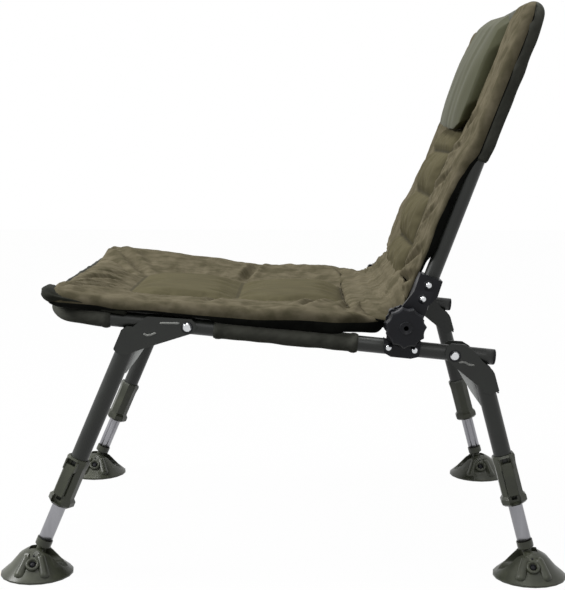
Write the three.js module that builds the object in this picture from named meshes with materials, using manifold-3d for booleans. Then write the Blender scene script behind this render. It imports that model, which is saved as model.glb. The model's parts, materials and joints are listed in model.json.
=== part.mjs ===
// A folding padded chair: a reclining back on a low tubular seat frame, with four folding,
// telescopic legs that stand on tilting round mud feet. Millimetres, +Z up, front towards -Y.
// The left side, at +X, is drawn; the right side mirrors it.
import * as THREE from "three";
import { mergeVertices } from "three/addons/utils/BufferGeometryUtils.js";
import Module from "manifold-3d";

const wasm = await Module();
wasm.setup();

// Driving dimensions

const gap = 0.3; // left between neighbours that touch
const sideX = 266; // plane of the rails, legs and back tubes
const radians = Math.PI / 180;
const weld = 1e-3; // vertices and grid lines nearer than this are one

const tube = { rail: 11, wall: 1.5, outerLeg: 12.5, outerLegBore: 10.4, innerLeg: 10, innerLegBore: 8.6 };
const sleeveRadius = tube.rail + 2;

// Seat frame. Its own frame has its origin on the left rail at the front leg pivot, Y to the
// rear along the rail and Z up across it.
const rail = {
  pivotY: -161,
  pivotZ: 358.2,
  slope: -5.716 * radians,
  rearEnd: 425.8,
  frontAxis: -189.6,
  bend: 70,
  rearPivotY: 371.9,
  rearPivotZ: -1.7,
  crossY: 303,
  crossRadius: 10,
};
const frontSleeveEnd = -107.5;
const midSleeve = { start: 36.6, end: 237.2 };
const cap = { flange: 3, plug: 12, clear: 0.8, edgeShare: 0.6, faceShare: 0.9 };

// Recline hinge, in the rail frame, and the back frame, whose origin is on the back tube's axis
// with Z up along it and -Y ahead of it.
const hinge = {
  y: 297.8,
  z: 34.2,
  earRadius: 26.5,
  discRadius: 25,
  ringRadius: 28.2,
  toothDepth: 2,
  boltRadius: 4,
  headRadius: 7,
  headLength: 5,
  inner: 268,
  earEnd: 275,
  clampStart: 280.3,
  clampEnd: 288,
  boltEnd: 297,
  saddleStart: 266,
  saddleEnd: 280,
};
const discTeeth = 20;
const knob = { radius: 26.4, lobe: 1.6, neck: 17, neckEnd: 294, bevel: 2, end: 311, boss: 9, bossHeight: 1 };
const knobLobes = 11;
const back = {
  lean: -20.44 * radians,
  behind: 12.5,
  hingeBelow: 76.1,
  lowerEnd: -47,
  topAxis: 383,
  bend: 50,
  sleeveStart: 169,
};

// Leg brackets, as outlines in the rail frame from the leg's pivot
const plate = { inner: 12.8, outer: 14.8, hole: 4.3 };
const gusset = { start: 15.1, end: 16.6 };
// Only the left legs have a gusset
const gussetSide = "left";
const legs = {
  front: {
    lean: -23.41 * radians,
    offset: -67.3,
    tubeTop: -42,
    webEnd: -68,
    lockTop: -234.4,
    leverTurn: 20 * radians,
    footTurn: 0,
    outline: [
      [-55.5, 9.8],
      [5, 12],
      [10.5, 7.7],
      [13, 1.2],
      [9.9, -6.8],
      [-40, -28.1],
      [-55, -34.5],
      [-68.9, -41],
      [-73.7, -44],
      [-82.8, -47.1],
      [-92, -46.7],
      [-98.6, -41.2],
      [-90.4, -12.6],
      [-82.7, -6.5],
      [-74.3, -6.6],
      [-63.5, 4.8],
    ],
    gusset: [
      [-52, -31],
      [-60, -41.5],
      [-68.4, -56.9],
      [-82, -78.5],
      [-89.5, -80],
      [-96, -72],
      [-84, -34],
    ],
  },
  rear: {
    lean: 14.98 * radians,
    offset: 31.6,
    tubeTop: -35,
    webEnd: -66,
    lockTop: -155.2,
    leverTurn: 0,
    footTurn: Math.PI,
    outline: [
      [-12.7, 12.7],
      [-6.6, 16.6],
      [11.5, 17.2],
      [20.9, 12.7],
      [31.1, 4.4],
      [39.4, -3.9],
      [48.4, -10.3],
      [54.2, -14.4],
      [57.4, -18.7],
      [66.6, -42.1],
      [55.8, -49.3],
      [46.4, -46.6],
      [36.2, -38.4],
      [4.7, -17.6],
      [-9.2, -7.1],
      [-14, 3],
    ],
    gusset: [
      [8.8, -21.8],
      [20, -20],
      [56, -50],
      [58, -66],
      [50.5, -74],
      [32.2, -53.2],
    ],
  },
};
// The domes of bolts and screws, as shares of the head's radius and of the dome's height.
const domeShares = [
  [1, 0],
  [0.72, 0.8],
  [0, 1],
];
const pivotBolt = { shank: 4, head: 7, dome: 3.4, nut: 6.5, nutLength: 4.4 };

// Telescopic leg, lock and foot, along the leg's axis
const footPivotHeight = 22;
const innerTubeTop = { front: -90, rear: -76 };
const lock = {
  length: 73,
  flat: 14.6,
  topFlat: 15.8,
  lipFlat: 17.8,
  lipLength: 14,
  chamfer: 3,
  bore: 12.8,
  lipBore: 10.3,
  step: 8,
  pocketWidth: 8.2,
  pocketDepth: 2.6,
  pocketTop: 12,
};
const lever = {
  hinge: 15,
  width: 7,
  length: 46,
  back: 2.2,
  front: 3,
  radial: 17.4,
  pin: 1.4,
  ear: 2.2,
  end: 1.6,
  bulgeShare: 0.2,
};
const ankle = { top: 31, collar: 11.5, collarEnd: 22, taperEnd: 19.5, neck: 7, eye: 7.6, plug: 14, lip: 1.2 };
const foot = {
  radius: 51.5,
  rim: 2.4,
  rimTop: 3.6,
  dome: 17,
  domeRadius: 15,
  shoulder: 24,
  shoulderHeight: 9,
  skirt: 38,
  skirtHeight: -7,
  slot: 7.6,
  slotBack: 9.6,
  slotFloor: 9,
  pin: 3,
  channel: 12.4,
  channelStart: 10,
  slotFront: 21,
  ribWidth: 3.4,
  ribRise: 2.2,
  ribAngle: 26 * radians,
  ribStart: 19,
  ribEnd: 47,
  recess: 4.4,
  recessDepth: 5,
};

// Cushions. Seat heights are above the rail's axis, back heights ahead of the back tube's axis,
// each as [place along the frame, height].
const cushion = {
  clear: sleeveRadius + 0.5,
  rounding: 14,
  rimShare: 0.35,
  rimShares: [0, 0.12, 0.45, 1],
  panelShares: [0.4, 0.8, 1],
  borderShares: [0.7, 0.88, 0.97, 1],
};
const seatPad = {
  front: -198,
  rear: 272,
  panelHalf: 130,
  borderInner: 225,
  seams: [-105.6, 56.6, 219.8],
  breaks: [242],
  crown: 12,
  sag: 13,
  least: 9,
  channel: [
    [-198, 27],
    [-176, 29],
    [-105.6, 15],
    [56.6, 18],
    [219.8, 31],
    [256, 24],
    [272, 20],
  ],
  border: [
    [-198, 29],
    [-176, 34],
    [60, 36],
    [185, 41],
    [219.8, 40],
    [256, 27],
    [272, 21],
  ],
  halfWidth: [
    [-198, 252],
    [-188, 266],
    [-168, 277],
    [-140, 280],
    [205, 280],
    [252, 252],
    [272, 244],
  ],
};
const backPad = {
  front: -50,
  rear: 390,
  panelHalf: 115,
  borderInner: 205,
  seams: [-48, 22, 99, 169],
  breaks: [200],
  crown: 14,
  sag: 9,
  least: 7,
  channel: [
    [-50, 21],
    [22, 24],
    [99, 24],
    [169, 21],
    [200, 13.6],
    [390, 13.6],
  ],
  border: [
    [-50, 22],
    [60, 25],
    [169, 23],
    [390, 22],
  ],
  halfWidth: [
    [-50, 240],
    [4, 250],
    [44, 272],
    [352, 272],
    [376, 265],
    [390, 250],
  ],
};
// The pillow sags: its front hangs lower than its back by slant times their distance. It rests on the
// cushion at a height of about rest over the tubes' axis.
const pillow = {
  start: 236,
  end: 404,
  slant: 1,
  rest: 14,
  half: 150,
  clear: 4.4,
  edge: 27,
  crown: 39,
  rounding: 26,
  swellShare: 0.5,
  lineShares: [0.3, 0.6, 0.82, 0.9, 0.96, 1],
};
const roll = { clear: 34, swell: 2.6 };
const rollFolds = 7;

// Materials

const paint = {
  frame: [0x2b2c2a, 0.5, 0.4],
  silver: [0x8c8c91, 0.35, 0.9],
  olive: [0x45473b, 0.6, 0],
  chrome: [0xc8cacc, 0.2, 1],
  zinc: [0x9a9b97, 0.4, 0.8],
  plastic: [0x1d1e22, 0.55, 0],
  fleece: [0x615c49, 0.95, 0],
  satin: [0x6d6e5f, 0.7, 0],
  sleeve: [0x3a3b35, 0.95, 0],
};

// Geometry helpers

// A closed geometry as a solid, for joining and cutting.
function solid(geometry) {
  const bare = geometry.index ? geometry.toNonIndexed() : geometry.clone();
  bare.deleteAttribute("normal");
  bare.deleteAttribute("uv");
  const merged = mergeVertices(bare, weld);
  return new wasm.Manifold(
    new wasm.Mesh({
      numProp: 3,
      vertProperties: merged.attributes.position.array,
      triVerts: new Uint32Array(merged.index.array),
    }),
  );
}

function geometryOf(body) {
  const mesh = body.getMesh();
  const geometry = new THREE.BufferGeometry();
  geometry.setAttribute("position", new THREE.BufferAttribute(mesh.vertProperties, 3));
  geometry.setIndex(new THREE.BufferAttribute(mesh.triVerts, 1));
  geometry.computeVertexNormals();
  return geometry;
}

function join(...geometries) {
  return geometryOf(geometries.map(solid).reduce((whole, next) => whole.add(next)));
}

function cut(geometry, ...tools) {
  return geometryOf(tools.map(solid).reduce((whole, tool) => whole.subtract(tool), solid(geometry)));
}

function flatShape(outline) {
  const points = outline.map(([u, v]) => new THREE.Vector2(u, v));
  return new THREE.Shape(THREE.ShapeUtils.area(points) < 0 ? points.reverse() : points);
}

// A side view outline of [y, z] points, extruded from x start to x end.
function sidePrism(outline, start, end) {
  const geometry = new THREE.ExtrudeGeometry(flatShape(outline), { depth: end - start, bevelEnabled: false });
  const toSide = new THREE.Matrix4().makeBasis(
    new THREE.Vector3(0, 1, 0),
    new THREE.Vector3(0, 0, 1),
    new THREE.Vector3(1, 0, 0),
  );
  return geometry.applyMatrix4(toSide).translate(start, 0, 0);
}

// A closed profile of [radius, height] points, turned about the Z axis.
function turned(profile, segments = 24) {
  const points = profile.map(([r, h]) => new THREE.Vector2(r, h));
  if (THREE.ShapeUtils.area(points) < 0) points.reverse();
  points.push(points[0].clone());
  return new THREE.LatheGeometry(points, segments).rotateX(Math.PI / 2);
}

// The same about the X axis, with [radius, x] points.
function turnedAcross(profile, segments = 24) {
  return turned(profile, segments).rotateY(Math.PI / 2);
}

function rod(radius, start, end, segments = 18) {
  return turned([[0, start], [radius, start], [radius, end], [0, end]], segments);
}

function pipe(radius, bore, start, end, segments = 16) {
  return turned([[bore, start], [radius, start], [radius, end], [bore, end]], segments);
}

function crossRod(radius, start, end, segments = 16) {
  return rod(radius, start, end, segments).rotateY(Math.PI / 2);
}

function block(x0, x1, y0, y1, z0, z1) {
  const box = new THREE.BoxGeometry(x1 - x0, y1 - y0, z1 - z0);
  return box.translate((x0 + x1) / 2, (y0 + y1) / 2, (z0 + z1) / 2);
}

// A route through given points, for sweeping: each ring stands square to its neighbours.
class Route extends THREE.Curve {
  constructor(points) {
    super();
    this.points = points;
    this.steps = points.length - 1;
  }

  getPoint(t, target = new THREE.Vector3()) {
    const at = t * this.steps;
    const first = Math.min(Math.floor(at), this.steps - 1);
    return target.lerpVectors(this.points[first], this.points[first + 1], at - first);
  }

  getPointAt(u, target) {
    return this.getPoint(u, target);
  }

  getSpacedPoints() {
    return this.points;
  }

  getTangentAt(u, target = new THREE.Vector3()) {
    const at = Math.round(u * this.steps);
    const before = this.points[Math.max(at - 1, 0)];
    const here = this.points[at];
    const after = this.points[Math.min(at + 1, this.steps)];
    const into = here.clone().sub(before).normalize();
    const out = after.clone().sub(here).normalize();
    return target.copy(into).add(out).normalize();
  }
}

function sweep(points, radius, bore, sides = 6) {
  const shape = new THREE.Shape().absarc(0, 0, radius, 0, 2 * Math.PI);
  shape.holes.push(new THREE.Path().absarc(0, 0, bore, 0, 2 * Math.PI));
  const route = new Route(points);
  return new THREE.ExtrudeGeometry(shape, {
    steps: route.steps,
    extrudePath: route,
    curveSegments: sides,
    bevelEnabled: false,
  });
}

// Points of a U from one open end round two bends to the other, placed by place(x, s).
function uPoints(half, open, closed, bend, place, arcSteps = 5) {
  const side = Math.sign(closed - open);
  const quarter = Array.from({ length: arcSteps + 1 }, (_, i) => {
    const angle = (i / arcSteps) * (Math.PI / 2);
    return [half - bend + bend * Math.cos(angle), closed - side * bend * (1 - Math.sin(angle))];
  });
  const left = [[half, open], ...quarter];
  const right = left.map(([x, s]) => [-x, s]).reverse();
  return [...left, ...right].map(([x, s]) => place(x, s));
}

function table(rows, at) {
  const next = rows.findIndex(([place]) => place >= at);
  if (next === 0) return rows[0][1];
  if (next < 0) return rows[rows.length - 1][1];
  const [[a, low], [b, high]] = [rows[next - 1], rows[next]];
  return THREE.MathUtils.lerp(low, high, THREE.MathUtils.smoothstep(at, a, b));
}

// A soft body over a grid: stations across as shares of the half width, stations along in
// millimetres, and its upper and lower heights as functions of the place.
function softBody(acrossShares, along, halfWidth, upper, lower) {
  const columns = acrossShares.length;
  const count = columns * along.length;
  const positions = [];
  for (const height of [upper, lower])
    for (const y of along)
      for (const share of acrossShares) {
        const x = share * halfWidth(y);
        positions.push(x, y, height(x, y));
      }
  const faces = [];
  const quad = (a, b, c, d) => faces.push(a, b, c, a, c, d);
  for (let j = 0; j + 1 < along.length; j++)
    for (let i = 0; i + 1 < columns; i++) {
      const a = j * columns + i;
      quad(a, a + 1, a + columns + 1, a + columns);
      quad(count + a, count + a + columns, count + a + columns + 1, count + a + 1);
    }
  const last = count - columns;
  const loop = [
    ...Array.from({ length: columns - 1 }, (_, i) => i),
    ...Array.from({ length: along.length - 1 }, (_, j) => j * columns + columns - 1),
    ...Array.from({ length: columns - 1 }, (_, i) => last + columns - 1 - i),
    ...Array.from({ length: along.length - 1 }, (_, j) => last - j * columns),
  ];
  loop.forEach((a, k) => {
    const b = loop[(k + 1) % loop.length];
    quad(a, count + a, count + b, b);
  });
  const geometry = new THREE.BufferGeometry();
  geometry.setAttribute("position", new THREE.Float32BufferAttribute(positions, 3));
  geometry.setIndex(faces);
  geometry.computeVertexNormals();
  return geometry;
}

// Places of the grid lines that follow the rims and the seams.
function stations(start, end, seams, panelSteps) {
  const rims = cushion.rimShares.map((share) => share * cushion.rounding);
  const stops = [start + cushion.rounding, ...seams, end - cushion.rounding];
  const lines = new Set([...rims.map((r) => start + r), ...rims.map((r) => end - r)]);
  for (let k = 0; k + 1 < stops.length; k++)
    for (let i = 0; i <= panelSteps; i++)
      lines.add(THREE.MathUtils.lerp(stops[k], stops[k + 1], i / panelSteps));
  return [...lines].sort((a, b) => a - b).filter((v, i, all) => i === 0 || v - all[i - 1] > weld);
}

// Share of full height near a rim: a quarter round that starts at the rim's own height.
function rounded(distance, radius) {
  const share = THREE.MathUtils.clamp(distance / radius, 0, 1);
  return cushion.rimShare + (1 - cushion.rimShare) * Math.sqrt(1 - (1 - share) ** 2);
}

// The outline and the two faces of a quilted pad that lies on the two tubes of a frame, with
// crowned panels between sewn channels.
function padFaces(pad) {
  const halfWidth = (y) => table(pad.halfWidth, y);
  const lower = (x, y) => {
    const inside = 1 - THREE.MathUtils.smoothstep(Math.abs(x), pad.panelHalf, sideX - 2 * sleeveRadius);
    const fromFront = THREE.MathUtils.smoothstep(y, pad.front + 2 * sleeveRadius, pad.seams[0] + sleeveRadius);
    const fromRear = 1 - THREE.MathUtils.smoothstep(y, pad.rear - 5 * sleeveRadius, pad.rear - 2 * sleeveRadius);
    return cushion.clear - pad.sag * inside * Math.min(fromFront, fromRear);
  };
  const panel = (x, y) => {
    const k = pad.seams.findIndex((seam, i) => i > 0 && y <= seam && y >= pad.seams[i - 1]);
    if (k < 0 || Math.abs(x) >= pad.panelHalf) return 0;
    const share = (y - pad.seams[k - 1]) / (pad.seams[k] - pad.seams[k - 1]);
    const across = 1 - (Math.abs(x) / pad.panelHalf) ** 6;
    return pad.crown * Math.sqrt(Math.sin(Math.PI * THREE.MathUtils.clamp(share, 0, 1))) * across;
  };
  const upper = (x, y) => {
    const side = THREE.MathUtils.smoothstep(Math.abs(x), pad.panelHalf, pad.borderInner);
    const height = THREE.MathUtils.lerp(table(pad.channel, y), table(pad.border, y), side) + panel(x, y);
    const rim = Math.min(halfWidth(y) - Math.abs(x), y - pad.front, pad.rear - y);
    const base = lower(x, y);
    return base + Math.max(height - base, pad.least) * rounded(rim, cushion.rounding);
  };
  return { halfWidth, lower, upper };
}

function quiltedPad(pad, panelSteps) {
  const { halfWidth, lower, upper } = padFaces(pad);
  const panelShare = pad.panelHalf / Math.max(...pad.halfWidth.map(([, width]) => width));
  const shares = [...cushion.panelShares.map((share) => share * panelShare), ...cushion.borderShares];
  const across = [...shares.map((share) => -share).reverse(), 0, ...shares];
  const along = stations(pad.front, pad.rear, [...pad.seams, ...pad.breaks], panelSteps);
  return softBody(across, along, halfWidth, upper, lower);
}

function headrest() {
  const fullness = (share) => Math.sqrt(Math.max(Math.cos((share * Math.PI) / 2), 0));
  const middle = (pillow.start + pillow.end) / 2;
  const halfLength = (pillow.end - pillow.start) / 2;
  const pad = padFaces(backPad);
  const onPad = backPad.rear - cushion.rounding;
  const lower = (x, y) => pad.upper(x, Math.min(y - pillow.slant * pillow.rest, onPad)) + pillow.clear;
  const upper = (x, y) => {
    const rim = Math.min(pillow.half - Math.abs(x), halfLength - Math.abs(y - middle));
    const swell = fullness(x / pillow.half) * fullness((y - middle) / halfLength);
    const share = THREE.MathUtils.clamp(rim / pillow.rounding, 0, 1);
    const edge = pillow.edge + (pillow.crown - pillow.edge) * Math.sqrt(1 - (1 - share) ** 2);
    return THREE.MathUtils.lerp(edge, pillow.crown, swell * share * pillow.swellShare);
  };
  const across = [...pillow.lineShares.map((share) => -share).reverse(), 0, ...pillow.lineShares];
  const along = across.map((share) => middle + share * halfLength);
  const sagging = new THREE.Matrix4().makeShear(0, 0, 0, 0, 0, -pillow.slant);
  return softBody(across, along, () => pillow.half, upper, lower).applyMatrix4(sagging);
}

// Building

const chair = new THREE.Group();
const seatGroup = new THREE.Group();
seatGroup.position.set(0, rail.pivotY, rail.pivotZ);
seatGroup.rotation.x = rail.slope;
chair.add(seatGroup);

function add(parent, name, [colour, roughness, metalness], geometry) {
  const material = new THREE.MeshStandardMaterial({ color: colour, roughness, metalness });
  const mesh = new THREE.Mesh(geometry, material);
  mesh.name = name;
  parent.add(mesh);
}

// A group at a place in its parent, turned about X.
function frameAt(parent, x, y, z, turn = 0) {
  const group = new THREE.Group();
  group.position.set(x, y, z);
  group.rotation.x = turn;
  parent.add(group);
  return group;
}

// Seat frame

const pivots = { front: [0, 0], rear: [rail.rearPivotY, rail.rearPivotZ] };

function seatFrame() {
  const onRail = (x, s) => new THREE.Vector3(x, s, 0);
  const bent = sweep(
    uPoints(sideX, rail.rearEnd, rail.frontAxis, rail.bend, onRail),
    tube.rail,
    tube.rail - tube.wall,
  );
  const reach = sideX + sleeveRadius;
  const holes = Object.values(pivots).flatMap(([y, z]) =>
    [1, -1].map((side) =>
      crossRod(plate.hole, sideX - sleeveRadius, reach, 12).scale(side, side, 1).translate(0, y, z),
    ),
  );
  return cut(bent, ...holes);
}

add(seatGroup, "seat_frame", paint.frame, seatFrame());
add(
  seatGroup,
  "front_sleeve",
  paint.sleeve,
  sweep(
    uPoints(sideX, frontSleeveEnd, rail.frontAxis, rail.bend, (x, s) => new THREE.Vector3(x, s, 0)),
    sleeveRadius,
    tube.rail + gap,
  ),
);
add(
  seatGroup,
  "rear_cross_tube",
  paint.frame,
  cut(
    pipe(rail.crossRadius, rail.crossRadius - tube.wall, -sideX, sideX)
      .rotateY(Math.PI / 2)
      .translate(0, rail.crossY, 0),
    ...[1, -1].map((side) =>
      rod(tube.rail + gap, rail.crossY - hinge.discRadius, rail.crossY + hinge.discRadius)
        .rotateX(-Math.PI / 2)
        .translate(side * sideX, 0, 0),
    ),
    ...[1, -1].map((side) => {
      const outside = [side * sideX, side * (sideX + sleeveRadius)].sort((a, b) => a - b);
      const reach = hinge.discRadius;
      return block(...outside, rail.crossY - reach, rail.crossY + reach, -reach, reach);
    }),
  ),
);
add(seatGroup, "seat_pad", paint.fleece, quiltedPad(seatPad, 4));
const rollTurn = Math.atan2(rail.crossY - hinge.y, hinge.z);
const rollGroup = frameAt(seatGroup, 0, hinge.y, hinge.z, rollTurn);
const rollCrest = Math.hypot(hinge.y - rail.crossY, hinge.z) - rail.crossRadius - gap;
const rollHalf = sideX - roll.clear;
const rollProfile = Array.from({ length: rollFolds * 2 + 1 }, (_, i) => {
  const share = i / (rollFolds * 2);
  return [rollCrest - (i % 2) * roll.swell, THREE.MathUtils.lerp(-rollHalf, rollHalf, share)];
});
add(
  rollGroup,
  "hinge_roll",
  paint.fleece,
  turnedAcross([[0, -rollHalf], ...rollProfile, [0, rollHalf]], 12),
);

// Back frame

const backGroup = frameAt(seatGroup, 0, hinge.y, hinge.z, back.lean - rail.slope);
const backAxis = frameAt(backGroup, 0, back.behind, back.hingeBelow);
const onBack = (x, s) => new THREE.Vector3(x, 0, s);
add(
  backAxis,
  "back_frame",
  paint.frame,
  sweep(uPoints(sideX, back.lowerEnd, back.topAxis, back.bend, onBack), tube.rail, tube.rail - tube.wall),
);
add(
  backAxis,
  "back_sleeve",
  paint.sleeve,
  sweep(uPoints(sideX, back.sleeveStart, back.topAxis, back.bend, onBack), sleeveRadius, tube.rail + gap),
);
const backCover = frameAt(backAxis, 0, 0, 0, Math.PI / 2);
add(backCover, "back_pad", paint.fleece, quiltedPad(backPad, 3));
add(backCover, "headrest_pillow", paint.satin, headrest());

// Recline hinges

const clampOutline = [
  [13.2, 74.2],
  [44.6, 65.8],
  [40, 43.8],
  [30, 31],
  [2.6, 28.6],
];
const clampNeck = [
  [8, 50],
  [34, 50],
  [24, 12],
  [-14, 14],
];
const clampScrews = [
  [26.2, 58.7],
  [20.6, 39.2],
];
const clampPeg = { y: -19, z: 16.6, radius: 5.4, rise: 5.4 };
const saddleOutline = [
  [-23.6, -41.7],
  [-14, -46.2],
  [14, -46.2],
  [25, -42.4],
  [26, -21.5],
  [20, -25],
  [14, -28.6],
  [0, -31.8],
  [-14, -28.6],
  [-20, -25],
  [-26, -21.5],
];
const saddleNeck = [
  [-22, -30],
  [22, -30],
  [22, -8],
  [-22, -8],
];
const saddleScrews = [
  [-18, -33.8],
  [18, -34],
];
const screw = { radius: 4.5, dome: 2.4, sink: 1 };

// Domed screw heads on a face at x.
function screwHeads(places, x, { radius, dome, sink } = screw) {
  const domed = domeShares.map(([across, out]) => [radius * across, x + dome * out]);
  const profile = [[0, x - sink], [radius, x - sink], ...domed];
  return places.map(([y, z]) => turnedAcross(profile, 12).translate(0, y, z));
}

// A round outline of [y, z] points whose radius varies with the angle.
function roundOutline(points, radiusAt) {
  return Array.from({ length: points }, (_, i) => {
    const angle = (i / points) * 2 * Math.PI;
    return [radiusAt(angle, i) * Math.cos(angle), radiusAt(angle, i) * Math.sin(angle)];
  });
}

function lowerSaddle() {
  const railTool = rod(tube.rail + gap, -hinge.y, hinge.y)
    .rotateX(-Math.PI / 2)
    .translate(sideX, 0, -hinge.z);
  return cut(
    join(
      sidePrism(saddleOutline, hinge.saddleStart, hinge.saddleEnd),
      sidePrism(saddleNeck, hinge.inner, hinge.earEnd),
      crossRod(hinge.earRadius, hinge.inner, hinge.earEnd, 24),
      ...screwHeads(saddleScrews, hinge.saddleEnd),
    ),
    railTool,
    crossRod(hinge.boltRadius + gap, hinge.saddleStart - gap, hinge.saddleEnd),
  );
}

function upperClamp() {
  const tubeTool = rod(tube.rail + gap, back.lowerEnd - gap, back.topAxis)
    .translate(sideX, back.behind, back.hingeBelow)
    .rotateX(back.lean - rail.slope);
  const body = sidePrism(clampOutline, sideX - plate.outer, hinge.clampEnd - gap);
  return cut(
    join(
      body,
      sidePrism(clampNeck, hinge.clampStart, hinge.clampEnd),
      crossRod(hinge.discRadius, hinge.clampStart, hinge.clampEnd, 24),
      crossRod(clampPeg.radius, hinge.clampStart, hinge.clampEnd + clampPeg.rise, 12)
        .translate(0, clampPeg.y, clampPeg.z),
      ...screwHeads(clampScrews, hinge.clampEnd - gap),
    ),
    tubeTool,
    crossRod(hinge.boltRadius + gap, hinge.clampStart - gap, hinge.clampEnd + gap),
  );
}

function lobedKnob() {
  const start = hinge.clampEnd + gap;
  const lobedRadius = (angle) => knob.radius - knob.bevel + knob.lobe * Math.cos(knobLobes * angle);
  const lobes = roundOutline(knobLobes * 3, lobedRadius);
  const grip = new THREE.ExtrudeGeometry(flatShape(lobes), {
    depth: knob.end - knob.neckEnd - 2 * knob.bevel,
    bevelSize: knob.bevel,
    bevelThickness: knob.bevel,
    bevelSegments: 1,
  });
  grip.rotateY(Math.PI / 2).translate(knob.neckEnd + knob.bevel, 0, 0);
  return cut(
    join(
      grip,
      crossRod(knob.neck, start, knob.neckEnd + knob.bevel),
      crossRod(knob.boss, knob.end - knob.bevel, knob.end + knob.bossHeight),
    ),
    crossRod(hinge.boltRadius + gap, start - gap, hinge.boltEnd + gap),
  );
}

function toothedDisc() {
  const teeth = roundOutline(discTeeth * 2, (_, i) => hinge.ringRadius - (i % 2) * hinge.toothDepth);
  return cut(
    sidePrism(teeth, hinge.earEnd + gap, hinge.clampStart - gap),
    crossRod(hinge.boltRadius + gap, hinge.earEnd, hinge.clampStart),
  );
}

function hingeBolt() {
  return join(
    crossRod(hinge.boltRadius, hinge.inner - hinge.headLength, hinge.boltEnd),
    crossRod(hinge.headRadius, hinge.inner - hinge.headLength - gap, hinge.inner - gap, 6),
  );
}

// Legs

const lowest = {};

function legBracket(leg) {
  const sides = [
    sidePrism(leg.outline, plate.inner, plate.outer),
    sidePrism(leg.outline, -plate.outer, -plate.inner),
  ];
  const out = Math.sign(leg.offset);
  const web = [leg.offset + out * plate.inner, leg.offset + out * plate.outer].sort((a, b) => a - b);
  return cut(
    join(
      ...sides,
      block(-plate.outer, plate.outer, ...web, leg.webEnd, leg.tubeTop).rotateX(leg.lean - rail.slope),
    ),
    crossRod(plate.hole, -plate.outer - gap, plate.outer + gap),
  );
}

function boltAcross() {
  const { shank, head, dome, nut, nutLength } = pivotBolt;
  const outer = plate.outer + gap;
  return turnedAcross(
    [
      [0, -outer - nutLength],
      [nut, -outer - nutLength],
      [nut, -outer],
      [shank, -outer],
      [shank, outer],
      ...domeShares.map(([across, out]) => [head * across, outer + dome * out]),
    ],
    12,
  );
}

function lockBody(turn) {
  const corner = 1 / Math.cos(Math.PI / 8);
  const { length, flat, topFlat, lipFlat, lipLength, chamfer } = lock;
  const casing = turned(
    [
      [0, 0],
      [(topFlat - chamfer / 2) * corner, 0],
      [topFlat * corner, -chamfer],
      [flat * corner, -lever.hinge],
      [flat * corner, lipLength - length],
      [lipFlat * corner, chamfer + lipLength / 2 - length],
      [lipFlat * corner, chamfer - length],
      [(lipFlat - chamfer) * corner, -length],
      [0, -length],
    ],
    8,
  ).rotateZ(Math.PI / 8);
  const earSides = [1, -1].map((side) => {
    const near = side * (lever.width + gap);
    const far = side * (lever.width + gap + lever.ear);
    const across = [near, far].sort((a, b) => a - b);
    return block(flat - chamfer, lever.radial + lever.front, ...across, -lever.hinge - chamfer, -chamfer);
  });
  const pin = rod(lever.pin, -lever.width - lever.ear, lever.width + lever.ear, 10)
    .rotateX(-Math.PI / 2)
    .translate(lever.radial, 0, -lever.hinge + chamfer);
  const pocketBack = flat - lock.pocketDepth;
  const half = lock.pocketWidth;
  const pocket = block(pocketBack, lipFlat * 2, -half, half, chamfer - length, -lock.pocketTop + chamfer);
  const pocketAbove = block(
    pocketBack,
    lipFlat * 2,
    -lever.width - gap,
    lever.width + gap,
    -lock.pocketTop,
    -chamfer,
  );
  const body = join(cut(casing, pocket, pocketAbove), ...earSides, pin).rotateZ(turn);
  return cut(
    body,
    rod(lock.bore, -length + lock.step, 2 * gap),
    rod(lock.lipBore, -length - gap, -length + lock.step + gap),
  );
}

// The cam lever in its closed place: its pin's axis is the origin and it hangs down.
function camLever() {
  const { width, length, front, end, pin, bulgeShare } = lever;
  const rearFace = -lever.back;
  const outline = [
    [rearFace, -length],
    [front - end, -length],
    [front, end - length],
    [front + bulgeShare * end, -length / 2],
    [front - end / 2, 0],
    [end, lever.back],
    [-end, lever.back],
    [rearFace, 0],
  ];
  const blade = new THREE.ExtrudeGeometry(flatShape(outline), { depth: 2 * width, bevelEnabled: false });
  blade.rotateX(Math.PI / 2).translate(0, width, 0);
  const bore = rod(pin + gap, -width - gap, width + gap, 12).rotateX(-Math.PI / 2);
  return cut(blade, bore);
}

function ankleSocket() {
  const { top, collar, collarEnd, taperEnd, neck, eye, plug, lip } = ankle;
  const plugRadius = tube.innerLegBore - gap;
  const stem = turned([
    [0, 0],
    [neck, 0],
    [neck, taperEnd],
    [collar, collarEnd],
    [collar, top + lip],
    [tube.innerLeg + gap, top + lip],
    [tube.innerLeg + gap, top - gap],
    [plugRadius, top - gap],
    [plugRadius, top + plug],
    [0, top + plug],
  ], 14);
  const half = foot.slot - gap;
  const beside = [
    [-collar, -half],
    [half, collar],
  ].map(([x0, x1]) => block(x0, x1, -collar, collar, -eye, taperEnd / 2));
  return cut(join(cut(stem, ...beside), crossRod(eye, -half, half, 14)), crossRod(foot.pin + gap, -collar, collar, 12));
}

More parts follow.
